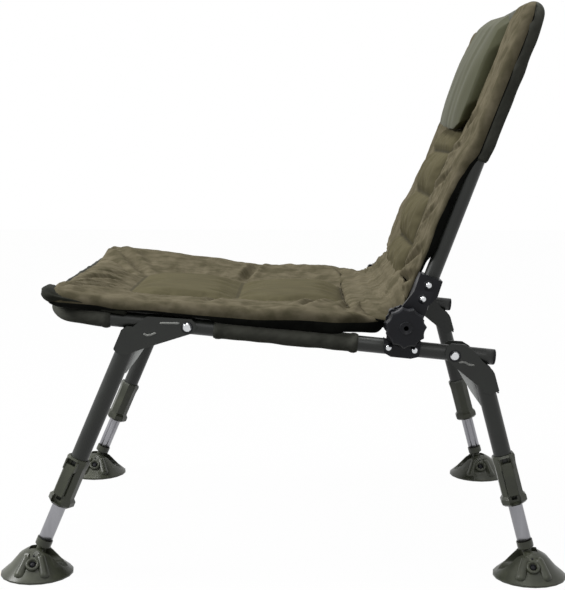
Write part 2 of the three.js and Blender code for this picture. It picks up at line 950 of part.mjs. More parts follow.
// The round foot about its pin, with the slot and the dished channel towards +Y.
function mudFoot() {
  const floor = -footPivotHeight;
  const { radius, rim, rimTop, dome, domeRadius, shoulder, shoulderHeight, skirt, skirtHeight } = foot;
  const bowl = turned(
    [
      [0, floor],
      [radius - rim, floor],
      [radius, floor + rim / 2],
      [radius, floor + rimTop],
      [skirt, skirtHeight],
      [shoulder, shoulderHeight],
      [domeRadius, dome - rim],
      [domeRadius - 2 * rim, dome],
      [0, dome],
    ],
    20,
  );
  const slope = Math.atan2(shoulderHeight - floor - rimTop, radius - shoulder);
  const ribs = [1, -1].map((side) =>
    block(foot.ribStart, foot.ribEnd, -foot.ribWidth, foot.ribWidth, -dome / 2, foot.ribRise)
      .translate(-shoulder, 0, 0)
      .rotateY(slope)
      .translate(shoulder, 0, shoulderHeight)
      .rotateZ(side * foot.ribAngle),
  );
  const channel = rod(foot.channel, foot.channelStart, 2 * radius).rotateX(-Math.PI / 2);
  const openTop = block(-foot.channel, foot.channel, foot.channelStart, 2 * radius, 0, dome + shoulder);
  const slot = block(-foot.slot, foot.slot, -foot.slotBack, foot.slotFront, -foot.slotFloor, 2 * dome);
  const pinRecess = crossRod(foot.recess, shoulder - foot.recessDepth, radius);
  const hollowed = cut(join(bowl, ...ribs), channel, openTop, slot, pinRecess);
  return join(hollowed, crossRod(foot.pin, -foot.slot - rim, foot.slot + rim, 12));
}

function buildSide(side) {
  const name = side > 0 ? "left" : "right";
  const mirror = new THREE.Group();
  mirror.scale.x = side;
  chair.add(mirror);
  const frame = frameAt(mirror, 0, rail.pivotY, rail.pivotZ, rail.slope);

  const railAxis = frameAt(frame, sideX, 0, 0, -Math.PI / 2);
  const railSleeve = pipe(sleeveRadius, tube.rail + gap, midSleeve.start, midSleeve.end);
  add(railAxis, `${name}_rail_sleeve`, paint.sleeve, railSleeve);
  const plugRadius = tube.rail - tube.wall - cap.clear;
  const capStart = rail.rearEnd + gap;
  add(
    railAxis,
    `${name}_rail_end_cap`,
    paint.plastic,
    turned([
      [0, capStart - cap.plug],
      [plugRadius, capStart - cap.plug],
      [plugRadius, capStart],
      [tube.rail, capStart],
      [tube.rail, capStart + cap.flange * cap.edgeShare],
      [tube.rail * cap.faceShare, capStart + cap.flange],
      [0, capStart + cap.flange],
    ], 12),
  );

  const hingeFrame = frameAt(frame, 0, hinge.y, hinge.z);
  add(hingeFrame, `${name}_lower_saddle`, paint.plastic, lowerSaddle());
  add(hingeFrame, `${name}_toothed_disc`, paint.plastic, toothedDisc());
  add(hingeFrame, `${name}_hinge_bolt`, paint.zinc, hingeBolt());
  add(hingeFrame, `${name}_upper_clamp`, paint.plastic, upperClamp());
  add(hingeFrame, `${name}_knob`, paint.plastic, lobedKnob());

  for (const [end, leg] of Object.entries(legs)) {
    const [pivotY, pivotZ] = pivots[end];
    const label = `${end}_${name}`;
    const atPivot = frameAt(frame, sideX, pivotY, pivotZ);
    add(atPivot, `${label}_bracket`, paint.frame, legBracket(leg));
    if (name === gussetSide) {
      add(atPivot, `${label}_gusset`, paint.zinc, sidePrism(leg.gusset, -gusset.end, -gusset.start));
    }
    add(atPivot, `${label}_pivot_bolt`, paint.chrome, boltAcross());

    const height = rail.pivotZ + pivotY * Math.sin(rail.slope) + pivotZ * Math.cos(rail.slope);
    const footDepth = (height + leg.offset * Math.sin(leg.lean) - footPivotHeight) / Math.cos(leg.lean);
    const axis = frameAt(frameAt(atPivot, 0, 0, 0, leg.lean - rail.slope), 0, leg.offset, 0);
    const lockEnd = leg.lockTop - lock.length;
    add(
      axis,
      `${label}_outer_tube`,
      paint.frame,
      pipe(tube.outerLeg, tube.outerLegBore, lockEnd + lock.step + gap, leg.tubeTop - gap),
    );
    add(
      axis,
      `${label}_inner_tube`,
      paint.silver,
      pipe(tube.innerLeg, tube.innerLegBore, ankle.top - footDepth, innerTubeTop[end]),
    );
    const lockFrame = frameAt(axis, 0, 0, leg.lockTop);
    add(lockFrame, `${label}_lock_body`, paint.olive, lockBody(-leg.leverTurn));
    const leverTurn = new THREE.Group();
    leverTurn.rotation.z = -leg.leverTurn;
    lockFrame.add(leverTurn);
    const leverFrame = frameAt(leverTurn, lever.radial, 0, -lever.hinge + lock.chamfer);
    add(leverFrame, `${label}_lock_lever`, paint.olive, camLever());
    const ankleFrame = frameAt(axis, 0, 0, -footDepth);
    add(ankleFrame, `${label}_ankle_socket`, paint.olive, ankleSocket());

    const footY = Math.cos(leg.lean) * leg.offset + Math.sin(leg.lean) * footDepth;
    const alongY = rail.pivotY + pivotY * Math.cos(rail.slope) - pivotZ * Math.sin(rail.slope);
    lowest[end] = alongY + footY;
    const footFrame = frameAt(mirror, sideX, lowest[end], footPivotHeight);
    footFrame.rotation.z = leg.footTurn;
    add(footFrame, `${label}_mud_foot`, paint.olive, mudFoot());
  }
}

for (const side of [1, -1]) buildSide(side);

chair.position.y = -(lowest.front + lowest.rear) / 2;

export default chair;
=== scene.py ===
"""Dresses the folding padded chair: smooth tubes, quilted cushions, fittings, finishes and a studio.

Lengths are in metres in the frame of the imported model: X across (the left side is +X), Y to the rear, Z up.
"""

from __future__ import annotations

import itertools
import json
import logging
import math
from dataclasses import dataclass
from enum import Enum
from typing import Iterable, Sequence

import bmesh
import bpy
import numpy as np
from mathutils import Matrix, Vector

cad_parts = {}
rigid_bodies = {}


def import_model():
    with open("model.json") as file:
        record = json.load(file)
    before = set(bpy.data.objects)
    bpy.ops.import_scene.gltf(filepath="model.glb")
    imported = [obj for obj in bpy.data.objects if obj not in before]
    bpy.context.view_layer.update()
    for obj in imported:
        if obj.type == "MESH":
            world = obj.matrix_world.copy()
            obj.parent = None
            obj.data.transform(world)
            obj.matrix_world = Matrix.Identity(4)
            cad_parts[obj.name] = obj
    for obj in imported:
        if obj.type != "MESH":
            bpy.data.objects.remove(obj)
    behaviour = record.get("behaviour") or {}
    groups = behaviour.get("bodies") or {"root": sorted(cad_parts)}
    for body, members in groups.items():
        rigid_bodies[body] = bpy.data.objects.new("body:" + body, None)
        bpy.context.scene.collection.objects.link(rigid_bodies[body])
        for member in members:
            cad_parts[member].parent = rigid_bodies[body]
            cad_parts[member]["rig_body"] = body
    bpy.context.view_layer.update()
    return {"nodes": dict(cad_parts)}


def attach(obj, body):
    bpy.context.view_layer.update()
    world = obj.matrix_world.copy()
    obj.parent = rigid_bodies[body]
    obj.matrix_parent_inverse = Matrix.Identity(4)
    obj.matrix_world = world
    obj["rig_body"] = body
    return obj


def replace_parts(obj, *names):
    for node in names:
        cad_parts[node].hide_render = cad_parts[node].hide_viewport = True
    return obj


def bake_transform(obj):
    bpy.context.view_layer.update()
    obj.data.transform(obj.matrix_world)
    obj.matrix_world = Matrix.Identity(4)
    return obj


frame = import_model()

logging.basicConfig(level=logging.INFO, format="%(message)s")
LOG = logging.getLogger("chair")

MM = 0.001
SIDES = {"left": 1.0, "right": -1.0}
Array = np.ndarray
Colour = tuple[float, float, float, float]
Shape = tuple[Array, Array]


class Slot(Enum):
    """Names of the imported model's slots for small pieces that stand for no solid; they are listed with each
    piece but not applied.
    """

    BRIGHT_BOLT = "bright_bolt"
    BLACK_PLASTIC = "black_plastic"
    OLIVE_PLASTIC = "olive_plastic"
    PAINTED_TUBE = "painted_tube"


# Places that the seat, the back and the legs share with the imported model


@dataclass(frozen=True)
class Slant:
    """A side-view frame tilted about X, in which fabric and tubes are laid out.

    Attributes:
        y: Place of its origin along Y.
        z: Height of its origin.
        tilt: Angle of its along direction above the floor, in radians.
    """

    y: float
    z: float
    tilt: float

    def place(self, x: Array, along: Array, height: Array) -> Array:
        """Points in the model's frame: the origin plus along times (cos, sin) plus height times (-sin, cos).

        Args:
            x: Places across.
            along: Places along the slant.
            height: Distances square to it.

        Returns:
            An array of points with x, y, z in its last axis.
        """
        x, along, height = np.broadcast_arrays(x, along, height)
        c, s = math.cos(self.tilt), math.sin(self.tilt)
        y = self.y + along * c - height * s
        z = self.z + along * s + height * c
        return np.stack([x, y, z], axis=-1)

    def normal(self) -> Vector:
        """The direction of growing height."""
        return Vector((0, -math.sin(self.tilt), math.cos(self.tilt)))


RAIL_SLOPE = math.radians(-5.716)
BACK_LEAN = math.radians(-20.44)
SIDE_X = 266 * MM
TUBE_RADIUS = 11 * MM
SLEEVE_RADIUS = 13 * MM
SEAT = Slant(-131.65 * MM, 358.2 * MM, RAIL_SLOPE)
HINGE = Slant(168.08 * MM, 362.57 * MM, RAIL_SLOPE)
BACK = Slant(206.37 * MM, 429.51 * MM, BACK_LEAN + math.pi / 2)
PIVOTS = {
    "front": SEAT,
    "rear": Slant(238.23 * MM, 319.47 * MM, RAIL_SLOPE),
}


@dataclass(frozen=True)
class LegLine:
    """One leg's axis, measured upwards from the pin of its foot.

    Attributes:
        lean: Turn about X that takes Z to the leg's axis, in radians.
        foot_y: Place of the foot's pin along Y.
        foot_z: Height of the foot's pin.
        lock_top: Distance from the pin up to the top of the lock.
        top: Distance from the pin up to the top of the outer tube.
        inner_top: Distance from the pin up to the top of the inner tube.
    """

    lean: float
    foot_y: float
    foot_z: float
    lock_top: float
    top: float
    inner_top: float

    def slant(self) -> Slant:
        """The leg's axis as a slant whose along direction runs up the leg."""
        return Slant(self.foot_y, self.foot_z, self.lean + math.pi / 2)


LEG_LINES = {
    "front": LegLine(
        math.radians(-23.41), -350.54 * MM, 22 * MM, 161.1 * MM, 353.2 * MM, 305.5 * MM
    ),
    "rear": LegLine(
        math.radians(14.98), 350.54 * MM, 22 * MM, 161.2 * MM, 281.1 * MM, 240.4 * MM
    ),
}


# Numbers worked out as whole arrays

LENGTH_SCATTER = 0.35


def smoothstep(low: float, high: float, value: Array) -> Array:
    """A share that eases from 0 at low to 1 at high.

    Args:
        low: Where the share is 0.
        high: Where the share is 1.
        value: Where to read it.

    Returns:
        t * t * (3 - 2 * t) for t the clamped distance from low to high.
    """
    t = np.clip((value - low) / (high - low), 0, 1)
    return t * t * (3 - 2 * t)


def eased(rows: Sequence[tuple[float, float]], at: Array) -> Array:
    """Values between listed places, easing from each listed value to the next.

    Args:
        rows: Pairs of place and value, in rising order.
        at: Places to read.

    Returns:
        The values at those places, held constant outside the list.
    """
    places, values = np.array(rows, float).T
    k = np.clip(np.searchsorted(places, at) - 1, 0, len(places) - 2)
    t = np.clip((at - places[k]) / (places[k + 1] - places[k]), 0, 1)
    return values[k] + (values[k + 1] - values[k]) * t * t * (3 - 2 * t)


def ripples(
    x: Array, y: Array, length: float, heading: float, spread: float, seed: int, count: int = 9
) -> Array:
    """Waves that run about one way: a sum of sines whose lengths and headings scatter.

    Args:
        x: Places along the first axis.
        y: Places along the second axis.
        length: Middle wave length.
        heading: Direction across the crests, in radians from x.
        spread: Scatter of the headings, in radians.
        seed: Number that fixes the scatter.
        count: How many sines are summed.

    Returns:
        The sum scaled to a standard deviation of about 1.
    """
    rng = np.random.default_rng(seed)
    total = np.zeros(np.broadcast(x, y).shape)
    for _ in range(count):
        turn = heading + spread * rng.normal()
        wave = 2 * math.pi / (length * math.exp(LENGTH_SCATTER * rng.normal()))
        phase = rng.uniform(0, 2 * math.pi)
        total += np.sin(wave * (x * math.cos(turn) + y * math.sin(turn)) + phase)
    return total / math.sqrt(count / 2)


def creased(wave: Array, sharpness: float) -> Array:
    """Folds with narrow valleys: 1 - exp(-sharpness * wave squared), from 0 to 1.

    Args:
        wave: Values around 0, where the valleys lie.
        sharpness: How narrow the valleys are.

    Returns:
        0 in a valley and 1 on the round tops between.
    """
    return 1 - np.exp(-sharpness * wave**2)


def even_steps(start: float, end: float, step: float) -> Array:
    """Places from start to end, both included, about a step apart."""
    return np.linspace(start, end, max(2, int(round(abs(end - start) / step)) + 1))


def rim_steps(start: float, end: float, rounding: float, step: float, rim_count: int = 7) -> Array:
    """Places across a pad that crowd towards both rims, as even angles round a quarter circle do.

    Args:
        start: First rim.
        end: Last rim.
        rounding: Radius of the quarter circles.
        step: Spacing between them.
        rim_count: Places on each quarter circle.

    Returns:
        The places in rising order.
    """
    angles = np.linspace(0, math.pi / 2, rim_count + 1)[:-1]
    rim = rounding * (1 - np.cos(angles))
    middle = even_steps(start + rounding, end - rounding, step)
    return np.concatenate([start + rim, middle, (end - rim)[::-1]])


def round_share(distance: Array, rounding: float) -> Array:
    """Share of full height near a rim, as on a quarter circle: sqrt(1 - (1 - distance / rounding) squared).

    Args:
        distance: Distance in from the rim.
        rounding: Radius of the quarter circle.

    Returns:
        0 on the rim, and 1 from the rounding's end on.
    """
    return np.sqrt(np.clip(1 - np.clip(1 - distance / rounding, 0, 1) ** 2, 0, 1))


def resampled(path: Array, step: float) -> tuple[Array, Array]:
    """A path read again at even distances along it.

    Args:
        path: Its points, one row each.
        step: Spacing of the new points.

    Returns:
        The new points and the distance along the path of each.
    """
    gaps = np.linalg.norm(np.diff(path, axis=0), axis=1)
    length = np.concatenate([[0], np.cumsum(gaps)])
    fine = even_steps(0, length[-1], step)
    return np.stack([np.interp(fine, length, column) for column in path.T], axis=1), fine


# Mesh making

DOUBLES = 0.01 * MM
FLAT_ANGLE = math.radians(1)
SHARP_ANGLE = math.radians(34)
ROUNDING_SEGMENTS = 3


def quads(index: Array, close_columns: bool = False) -> Array:
    """Four-sided faces of a grid of vertex numbers.

    Args:
        index: Vertex numbers in rows and columns.
        close_columns: Whether the last column joins the first.

    Returns:
        One row of four vertex numbers for each face.
    """
    if close_columns:
        index = np.concatenate([index, index[:, :1]], axis=1)
    corners = [index[:-1, :-1], index[:-1, 1:], index[1:, 1:], index[1:, :-1]]
    return np.stack([c.ravel() for c in corners], axis=1)


def fan(ring: Array, centre: int) -> Array:
    """Triangles from a ring of vertex numbers to one centre, each with its last number repeated."""
    after = np.roll(ring, -1)
    middle = np.full_like(ring, centre)
    return np.stack([ring, after, middle, middle], axis=1)


def tube_faces(index: Array) -> Array:
    """Faces of a grid rolled into a tube, closed at each end to a centre that is numbered after the grid.

    Args:
        index: Vertex numbers, one ring in each row.

    Returns:
        The faces, with the two ends' triangles last.
    """
    return np.concatenate(
        [
            quads(index, close_columns=True),
            fan(index[0][::-1], index.size),
            fan(index[-1], index.size + 1),
        ]
    )


def pad_shell(upper: Array, lower: Array) -> tuple[Array, Array, Array]:
    """A closed form from the upper and lower side of a pad, which meet at the upper side's rim.

    Args:
        upper: Points of the upper side, in rows and columns.
        lower: Points of the lower side, in the same rows and columns.

    Returns:
        The points, the upper side's faces and the lower side's faces.
    """
    rows, columns = upper.shape[:2]
    top_index = np.arange(rows * columns).reshape(rows, columns)
    under_index = top_index.copy()
    inner = np.arange((rows - 2) * (columns - 2)).reshape(rows - 2, -1)
    under_index[1:-1, 1:-1] = rows * columns + inner
    points = np.concatenate([upper.reshape(-1, 3), lower[1:-1, 1:-1].reshape(-1, 3)])
    return points, quads(top_index), quads(under_index)[:, ::-1]


def piece_from(
    name: str,
    points: Array,
    faces: Array,
    materials: Sequence[bpy.types.Material],
    slots: Array | None = None,
) -> bpy.types.Object:
    """A shaded piece from points and faces, turned so that its faces look outwards.

    Args:
        name: The piece's name.
        points: Its vertices, one row each.
        faces: Rows of four vertex numbers; a repeated last number makes a triangle.
        materials: Its material slots.
        slots: The slot number of each face.

    Returns:
        The new object, at the origin.
    """
    mesh = bpy.data.meshes.new(name)
    rows = [row[:3] if row[2] == row[3] else row for row in faces.tolist()]
    mesh.from_pydata(points.reshape(-1, 3).tolist(), [], rows)
    for material in materials:
        mesh.materials.append(material)
    if slots is not None:
        mesh.polygons.foreach_set("material_index", slots.astype(np.int32))
    mesh.polygons.foreach_set("use_smooth", np.ones(len(rows), bool))
    shape = bmesh.new()
    shape.from_mesh(mesh)
    if shape.calc_volume(signed=True) < 0:
        bmesh.ops.reverse_faces(shape, faces=shape.faces)
    shape.to_mesh(mesh)
    shape.free()
    mesh.update()
    piece = bpy.data.objects.new(name, mesh)
    bpy.context.scene.collection.objects.link(piece)
    return piece


def write_attribute(piece: bpy.types.Object, name: str, values: Array) -> None:
    """Keeps one number for each vertex, which the piece's material reads."""
    layer = piece.data.attributes.new(name, "FLOAT", "POINT")
    layer.data.foreach_set("value", values.ravel().astype(np.float32))


def coordinates(mesh: bpy.types.Mesh) -> Array:
    """The mesh's vertices as rows of x, y, z."""
    flat = np.zeros(len(mesh.vertices) * 3, np.float32)
    mesh.vertices.foreach_get("co", flat)
    return flat.reshape(-1, 3).astype(float)


def set_coordinates(mesh: bpy.types.Mesh, points: Array) -> None:
    """Moves the mesh's vertices to the given rows of x, y, z."""
    mesh.vertices.foreach_set("co", points.astype(np.float32).ravel())
    mesh.update()


def swept(path: Array, across: Array, radius: Array | float, segments: int = 32) -> Shape:
    """A round tube along a flat path: each ring is the path's point plus the radius times
    (cos * across + sin * the direction square to both).

    Args:
        path: Points along the middle, one row each.
        across: Direction square to the plane of the path.
        radius: One radius, or one for each ring and segment.
        segments: Points in a ring.

    Returns:
        Points and faces of the tube, closed at both ends.
    """
    tangents = np.gradient(path, axis=0)
    tangents /= np.linalg.norm(tangents, axis=1, keepdims=True)
    across = np.asarray(across, float) / np.linalg.norm(across)
    beside = np.cross(tangents, across)
    beside /= np.linalg.norm(beside, axis=1, keepdims=True)
    angles = np.linspace(0, 2 * math.pi, segments, endpoint=False)
    radius = np.broadcast_to(radius, (len(path), segments))[..., None]
    ring = np.cos(angles)[None, :, None] * across + np.sin(angles)[None, :, None] * beside[:, None, :]
    points = (path[:, None, :] + radius * ring).reshape(-1, 3)
    index = np.arange(len(points)).reshape(len(path), segments)
    ends = np.array([path[0], path[-1]])
    return np.concatenate([points, ends]), tube_faces(index)


def turned(
    profile: Sequence[tuple[float, float]],
    origin: Sequence[float],
    axis: Sequence[float],
    segments: int = 40,
) -> Shape:
    """A turned form: the profile's radii carried round an axis, with a pole at each end.

    Args:
        profile: Pairs of radius and height along the axis; the first and last radius are 0.
        origin: Point on the axis at height 0.
        axis: Direction of growing height.
        segments: Points in a ring.

    Returns:
        Points and faces of the closed form.
    """
    axis = np.asarray(axis, float) / np.linalg.norm(axis)
    first = np.cross(axis, [1.0, 0, 0]) if abs(axis[0]) < 0.9 else np.cross(axis, [0, 1.0, 0])
    first /= np.linalg.norm(first)
    second = np.cross(axis, first)
    rows = np.array(profile, float)
    radii, heights = rows[1:-1, :1], rows[1:-1, 1:]
    angles = np.linspace(0, 2 * math.pi, segments, endpoint=False)[None, :]
    radii = np.broadcast_to(radii, (len(rows) - 2, segments))[..., None]
    ring = np.cos(angles)[..., None] * first + np.sin(angles)[..., None] * second
    points = (np.asarray(origin) + radii * ring + heights[..., None] * axis).reshape(-1, 3)
    index = np.arange(len(points)).reshape(-1, segments)
    poles = np.asarray(origin) + np.array([rows[0, 1], rows[-1, 1]])[:, None] * axis
    return np.concatenate([points, poles]), tube_faces(index)


def merged(parts: Iterable[Shape]) -> Shape:
    """Several closed forms as one set of points and faces."""
    points, faces, start = [], [], 0
    for part_points, part_faces in parts:
        points.append(part_points)
        faces.append(part_faces + start)
        start += len(part_points)
    return np.concatenate(points), np.concatenate(faces)


def softened(node: str, name: str, material: bpy.types.Material, width: float) -> bpy.types.Object:
    """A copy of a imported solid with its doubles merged, its flat faces joined and its edges rounded.

    Args:
        node: The solid's name.
        name: The new piece's name.
        material: Its finish.
        width: Width of the rounding.

    Returns:
        The piece, which rides on the solid's body and stands for it.
    """
    source = frame["nodes"][node]
    mesh = source.data.copy()
    mesh.name = name
    shape = bmesh.new()
    shape.from_mesh(mesh)
    bmesh.ops.remove_doubles(shape, verts=shape.verts, dist=DOUBLES)
    bmesh.ops.dissolve_limit(shape, angle_limit=FLAT_ANGLE, verts=shape.verts, edges=shape.edges)
    for face in shape.faces:
        face.smooth = True
        face.material_index = 0
    shape.to_mesh(mesh)
    shape.free()
    mesh.materials.clear()
    mesh.materials.append(material)
    piece = bpy.data.objects.new(name, mesh)
    bpy.context.scene.collection.objects.link(piece)
    rounding = piece.modifiers.new("Rounded edges", "BEVEL")
    rounding.width = width
    rounding.segments = ROUNDING_SEGMENTS
    rounding.limit_method = "ANGLE"
    rounding.angle_limit = SHARP_ANGLE
    rounding.use_clamp_overlap = True
    rounding.harden_normals = True
    piece.data.set_sharp_from_angle(angle=SHARP_ANGLE)
    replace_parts(piece, node)
    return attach(piece, source["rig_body"])


# Finishes


def linear(code: str) -> Colour:
    """An sRGB hex colour as linear numbers.

    Args:
        code: Six hex digits after a #.

    Returns:
        Red, green, blue and an alpha of 1.
    """
    shares = np.array([int(code[i : i + 2], 16) for i in (1, 3, 5)]) / 255
    low, high = shares / 12.92, ((shares + 0.055) / 1.055) ** 2.4
    return (*np.where(shares <= 0.04045, low, high).tolist(), 1.0)


def add_node(
    tree: bpy.types.NodeTree, kind: str, inputs: dict | None = None, **settings: object
) -> bpy.types.Node:
    """Adds a node, sets its own settings, and fills or links its inputs.

    Args:
        tree: The material's nodes.
        kind: Blender's name of the node type.
        inputs: For each socket, by name or number, its value or the output that feeds it.
        settings: Settings of the node itself.

    Returns:
        The new node.
    """
    node = tree.nodes.new(kind)
    for name, value in settings.items():
        setattr(node, name, value)
    for socket, value in (inputs or {}).items():
        target = node.inputs[socket]
        if isinstance(value, bpy.types.NodeSocket):
            tree.links.new(value, target)
        else:
            target.default_value = value
    return node


def noise(
    tree: bpy.types.NodeTree, place: bpy.types.NodeSocket, size: float, detail: float
) -> bpy.types.NodeSocket:
    """Soft patches, whose strength scatters around 0.5.

    Args:
        tree: The material's nodes.
        place: Where they are read, in metres.
        size: Width of a patch.
        detail: How many finer layers are added.

    Returns:
        Their strength.
    """
    inputs = {"Vector": place, "Scale": 1 / size, "Detail": detail}
    return add_node(tree, "ShaderNodeTexNoise", inputs).outputs[0]


def mapped(
    tree: bpy.types.NodeTree,
    value: bpy.types.NodeSocket,
    source: tuple[float, float] = (0.0, 1.0),
    target: tuple[float, float] = (0.0, 1.0),
) -> bpy.types.NodeSocket:
    """A value carried from one range to another, and held at its ends.

    Args:
        tree: The material's nodes.
        value: What is carried.
        source: The range that it comes from.
        target: The range that it goes to.

    Returns:
        The new value.
    """
    inputs = {"Value": value}
    inputs.update(zip(("From Min", "From Max", "To Min", "To Max"), (*source, *target)))
    return add_node(tree, "ShaderNodeMapRange", inputs).outputs[0]


@dataclass(frozen=True)
class Finish:
    """What every finish shares: a name, a roughness and how metallic it is."""

    name: str
    roughness: float
    metallic: float = 0.0

    def material(self) -> bpy.types.Material:
        """The finish as a material, made once."""
        made = bpy.data.materials.get(self.name)
        if made is None:
            made = bpy.data.materials.new(self.name)
            made.use_nodes = True
            tree = made.node_tree
            tree.nodes.clear()
            shader = add_node(
                tree,
                "ShaderNodeBsdfPrincipled",
                {"Roughness": self.roughness, "Metallic": self.metallic},
            )
            add_node(tree, "ShaderNodeOutputMaterial", {"Surface": shader.outputs[0]})
            self.dress(tree, shader)
        return made

    def dress(self, tree: bpy.types.NodeTree, shader: bpy.types.Node) -> None:
        """Adds the finish's own colour, relief and gloss."""
        raise NotImplementedError

    def between(
        self,
        tree: bpy.types.NodeTree,
        share: bpy.types.NodeSocket,
        places: tuple[float, float],
        codes: tuple[str, str],
    ) -> bpy.types.NodeSocket:
        """A colour that goes from one to another as a share goes from place to place.

        Args:
            tree: The material's nodes.
            share: What the colour follows.
            places: The share at each end.
            codes: The sRGB hex colour at each end.

        Returns:
            The colour.
        """
        node = add_node(tree, "ShaderNodeValToRGB", {"Fac": share})
        for element, place, code in zip(node.color_ramp.elements, places, codes):
            element.position = place
            element.color = linear(code)
        return node.outputs["Color"]


@dataclass(frozen=True)
class Weave(Finish):
    """Woven or brushed cloth: mottled colour, a weave of crossing threads, and a soft sheen.

    Attributes:
        dark: Colour in the valleys of the mottling.
        light: Colour on its tops.
        patch: Width of a mottled patch.
        stretch: How many times longer than wide a streak is.
        thread: Spacing of the threads, coarser than the real 0.3 to 0.5 mm so that it shows.
        depth: Depth of the threads.
        nap: Depth of the brushed pile, 0 for a flat weave.
        pile: Width of a tuft of the pile.
        sheen: Strength of the sheen.
        shine: Specular level.
    """

    dark: str = "#000000"
    light: str = "#ffffff"
    patch: float = 14 * MM
    stretch: float = 2.5
    thread: float = 1.4 * MM
    depth: float = 0.15 * MM
    nap: float = 0.0
    pile: float = 3.2 * MM
    sheen: float = 0.3
    shine: float = 0.08

    def pattern(
        self, tree: bpy.types.NodeTree, place: bpy.types.NodeSocket
    ) -> tuple[bpy.types.NodeSocket, bpy.types.NodeSocket]:
        """The cloth's colour and its relief, from streaks, patches and crossing threads.

        Args:
            tree: The material's nodes.
            place: Where they are read, in metres on the piece.

        Returns:
            The colour and the bumped normal.
        """
        drawn = add_node(
            tree,
            "ShaderNodeMapping",
            {"Vector": place, "Rotation": (0.35, 0, 0), "Scale": (1, 1 / self.stretch, 1 / self.stretch)},
        ).outputs[0]
        broad = noise(tree, place, self.patch, 3.0)
        streak = noise(tree, drawn, self.patch / 3, 4.0)
        mixed = add_node(tree, "ShaderNodeMath", {0: broad, 1: streak}, operation="ADD").outputs[0]
        share = mapped(tree, mixed, (0.0, 2.0))
        colour = self.between(tree, share, (0.4, 0.6), (self.dark, self.light))
        slanted = add_node(
            tree, "ShaderNodeMapping", {"Vector": place, "Rotation": (0.6, 0.4, math.pi / 4)}
        ).outputs[0]
        threads = add_node(
            tree,
            "ShaderNodeTexWave",
            {"Vector": slanted, "Scale": 0.05 / self.thread, "Distortion": 0.4},
        ).outputs[1]
        normal = add_node(tree, "ShaderNodeBump", {"Height": threads, "Distance": self.depth}).outputs[0]
        if self.nap:
            pile = noise(tree, drawn, self.pile, 3.0)
            normal = add_node(
                tree, "ShaderNodeBump", {"Height": pile, "Distance": self.nap, "Normal": normal}
            ).outputs[0]
        return colour, normal

    def dress(self, tree: bpy.types.NodeTree, shader: bpy.types.Node) -> None:
        """Links the colour and relief, and sets the sheen."""
        colour, normal = self.pattern(tree, add_node(tree, "ShaderNodeTexCoord").outputs["Object"])
        tree.links.new(colour, shader.inputs["Base Color"])
        tree.links.new(normal, shader.inputs["Normal"])
        self.gloss(shader)

    def gloss(self, shader: bpy.types.Node) -> None:
        """Sets a cloth's low gloss and soft sheen."""
        shader.inputs["Sheen Weight"].default_value = self.sheen
        shader.inputs["Sheen Roughness"].default_value = 0.5
        shader.inputs["Sheen Tint"].default_value = linear(self.light)
        shader.inputs["Specular IOR Level"].default_value = self.shine


@dataclass(frozen=True)
class QuiltedCover(Finish):
    """A fleece border with smooth twill panels let into it. A point's distance from the panels' edge tells
    which of the two it is.

    Attributes:
        border: The fleece.
        panel: The twill.
        seam: Colour of the painted shade in the sewn line's groove.
        seam_width: Width of the sewn line.
        seam_shade_strength: How much of the painted shade the sewn line shows.
        seam_shade_fade: Where the painted shade has faded, in seam widths.
    """

    border: Weave | None = None
    panel: Weave | None = None
    # Colour of the painted shade along the sewn lines
    seam: str = "#35322a"
    seam_width: float = 2.4 * MM
    seam_shade_strength: float = 0.7
    seam_shade_fade: float = 1.6

    def dress(self, tree: bpy.types.NodeTree, shader: bpy.types.Node) -> None:
        """Mixes the two cloths by the panel_edge attribute and darkens the sewn line by seam_gap, as painted
        shade in its groove.
        """
        place = add_node(tree, "ShaderNodeTexCoord").outputs["Object"]
        edge = add_node(tree, "ShaderNodeAttribute", attribute_name="panel_edge").outputs["Fac"]
        fleece, fleece_normal = self.border.pattern(tree, place)
        twill, twill_normal = self.panel.pattern(tree, place)
        quarter = self.seam_width / 4
        inside = mapped(tree, edge, (-quarter, quarter))
        cloth = add_node(
            tree, "ShaderNodeMix", {0: inside, 6: fleece, 7: twill}, data_type="RGBA"
        ).outputs[2]
        # Painted shade: the cover darkens towards the seam colour near the sewn lines and fades out with
        # distance
        seam = add_node(tree, "ShaderNodeAttribute", attribute_name="seam_gap").outputs["Fac"]
        reach = (quarter, self.seam_shade_fade * self.seam_width)
        line = mapped(tree, seam, reach, (self.seam_shade_strength, 0.0))
        colour = add_node(
            tree, "ShaderNodeMix", {0: line, 6: cloth, 7: linear(self.seam)}, data_type="RGBA"
        ).outputs[2]
        normal = add_node(
            tree, "ShaderNodeMix", {0: inside, 4: fleece_normal, 5: twill_normal}, data_type="VECTOR"
        ).outputs[1]
        tree.links.new(colour, shader.inputs["Base Color"])
        tree.links.new(normal, shader.inputs["Normal"])
        self.border.gloss(shader)


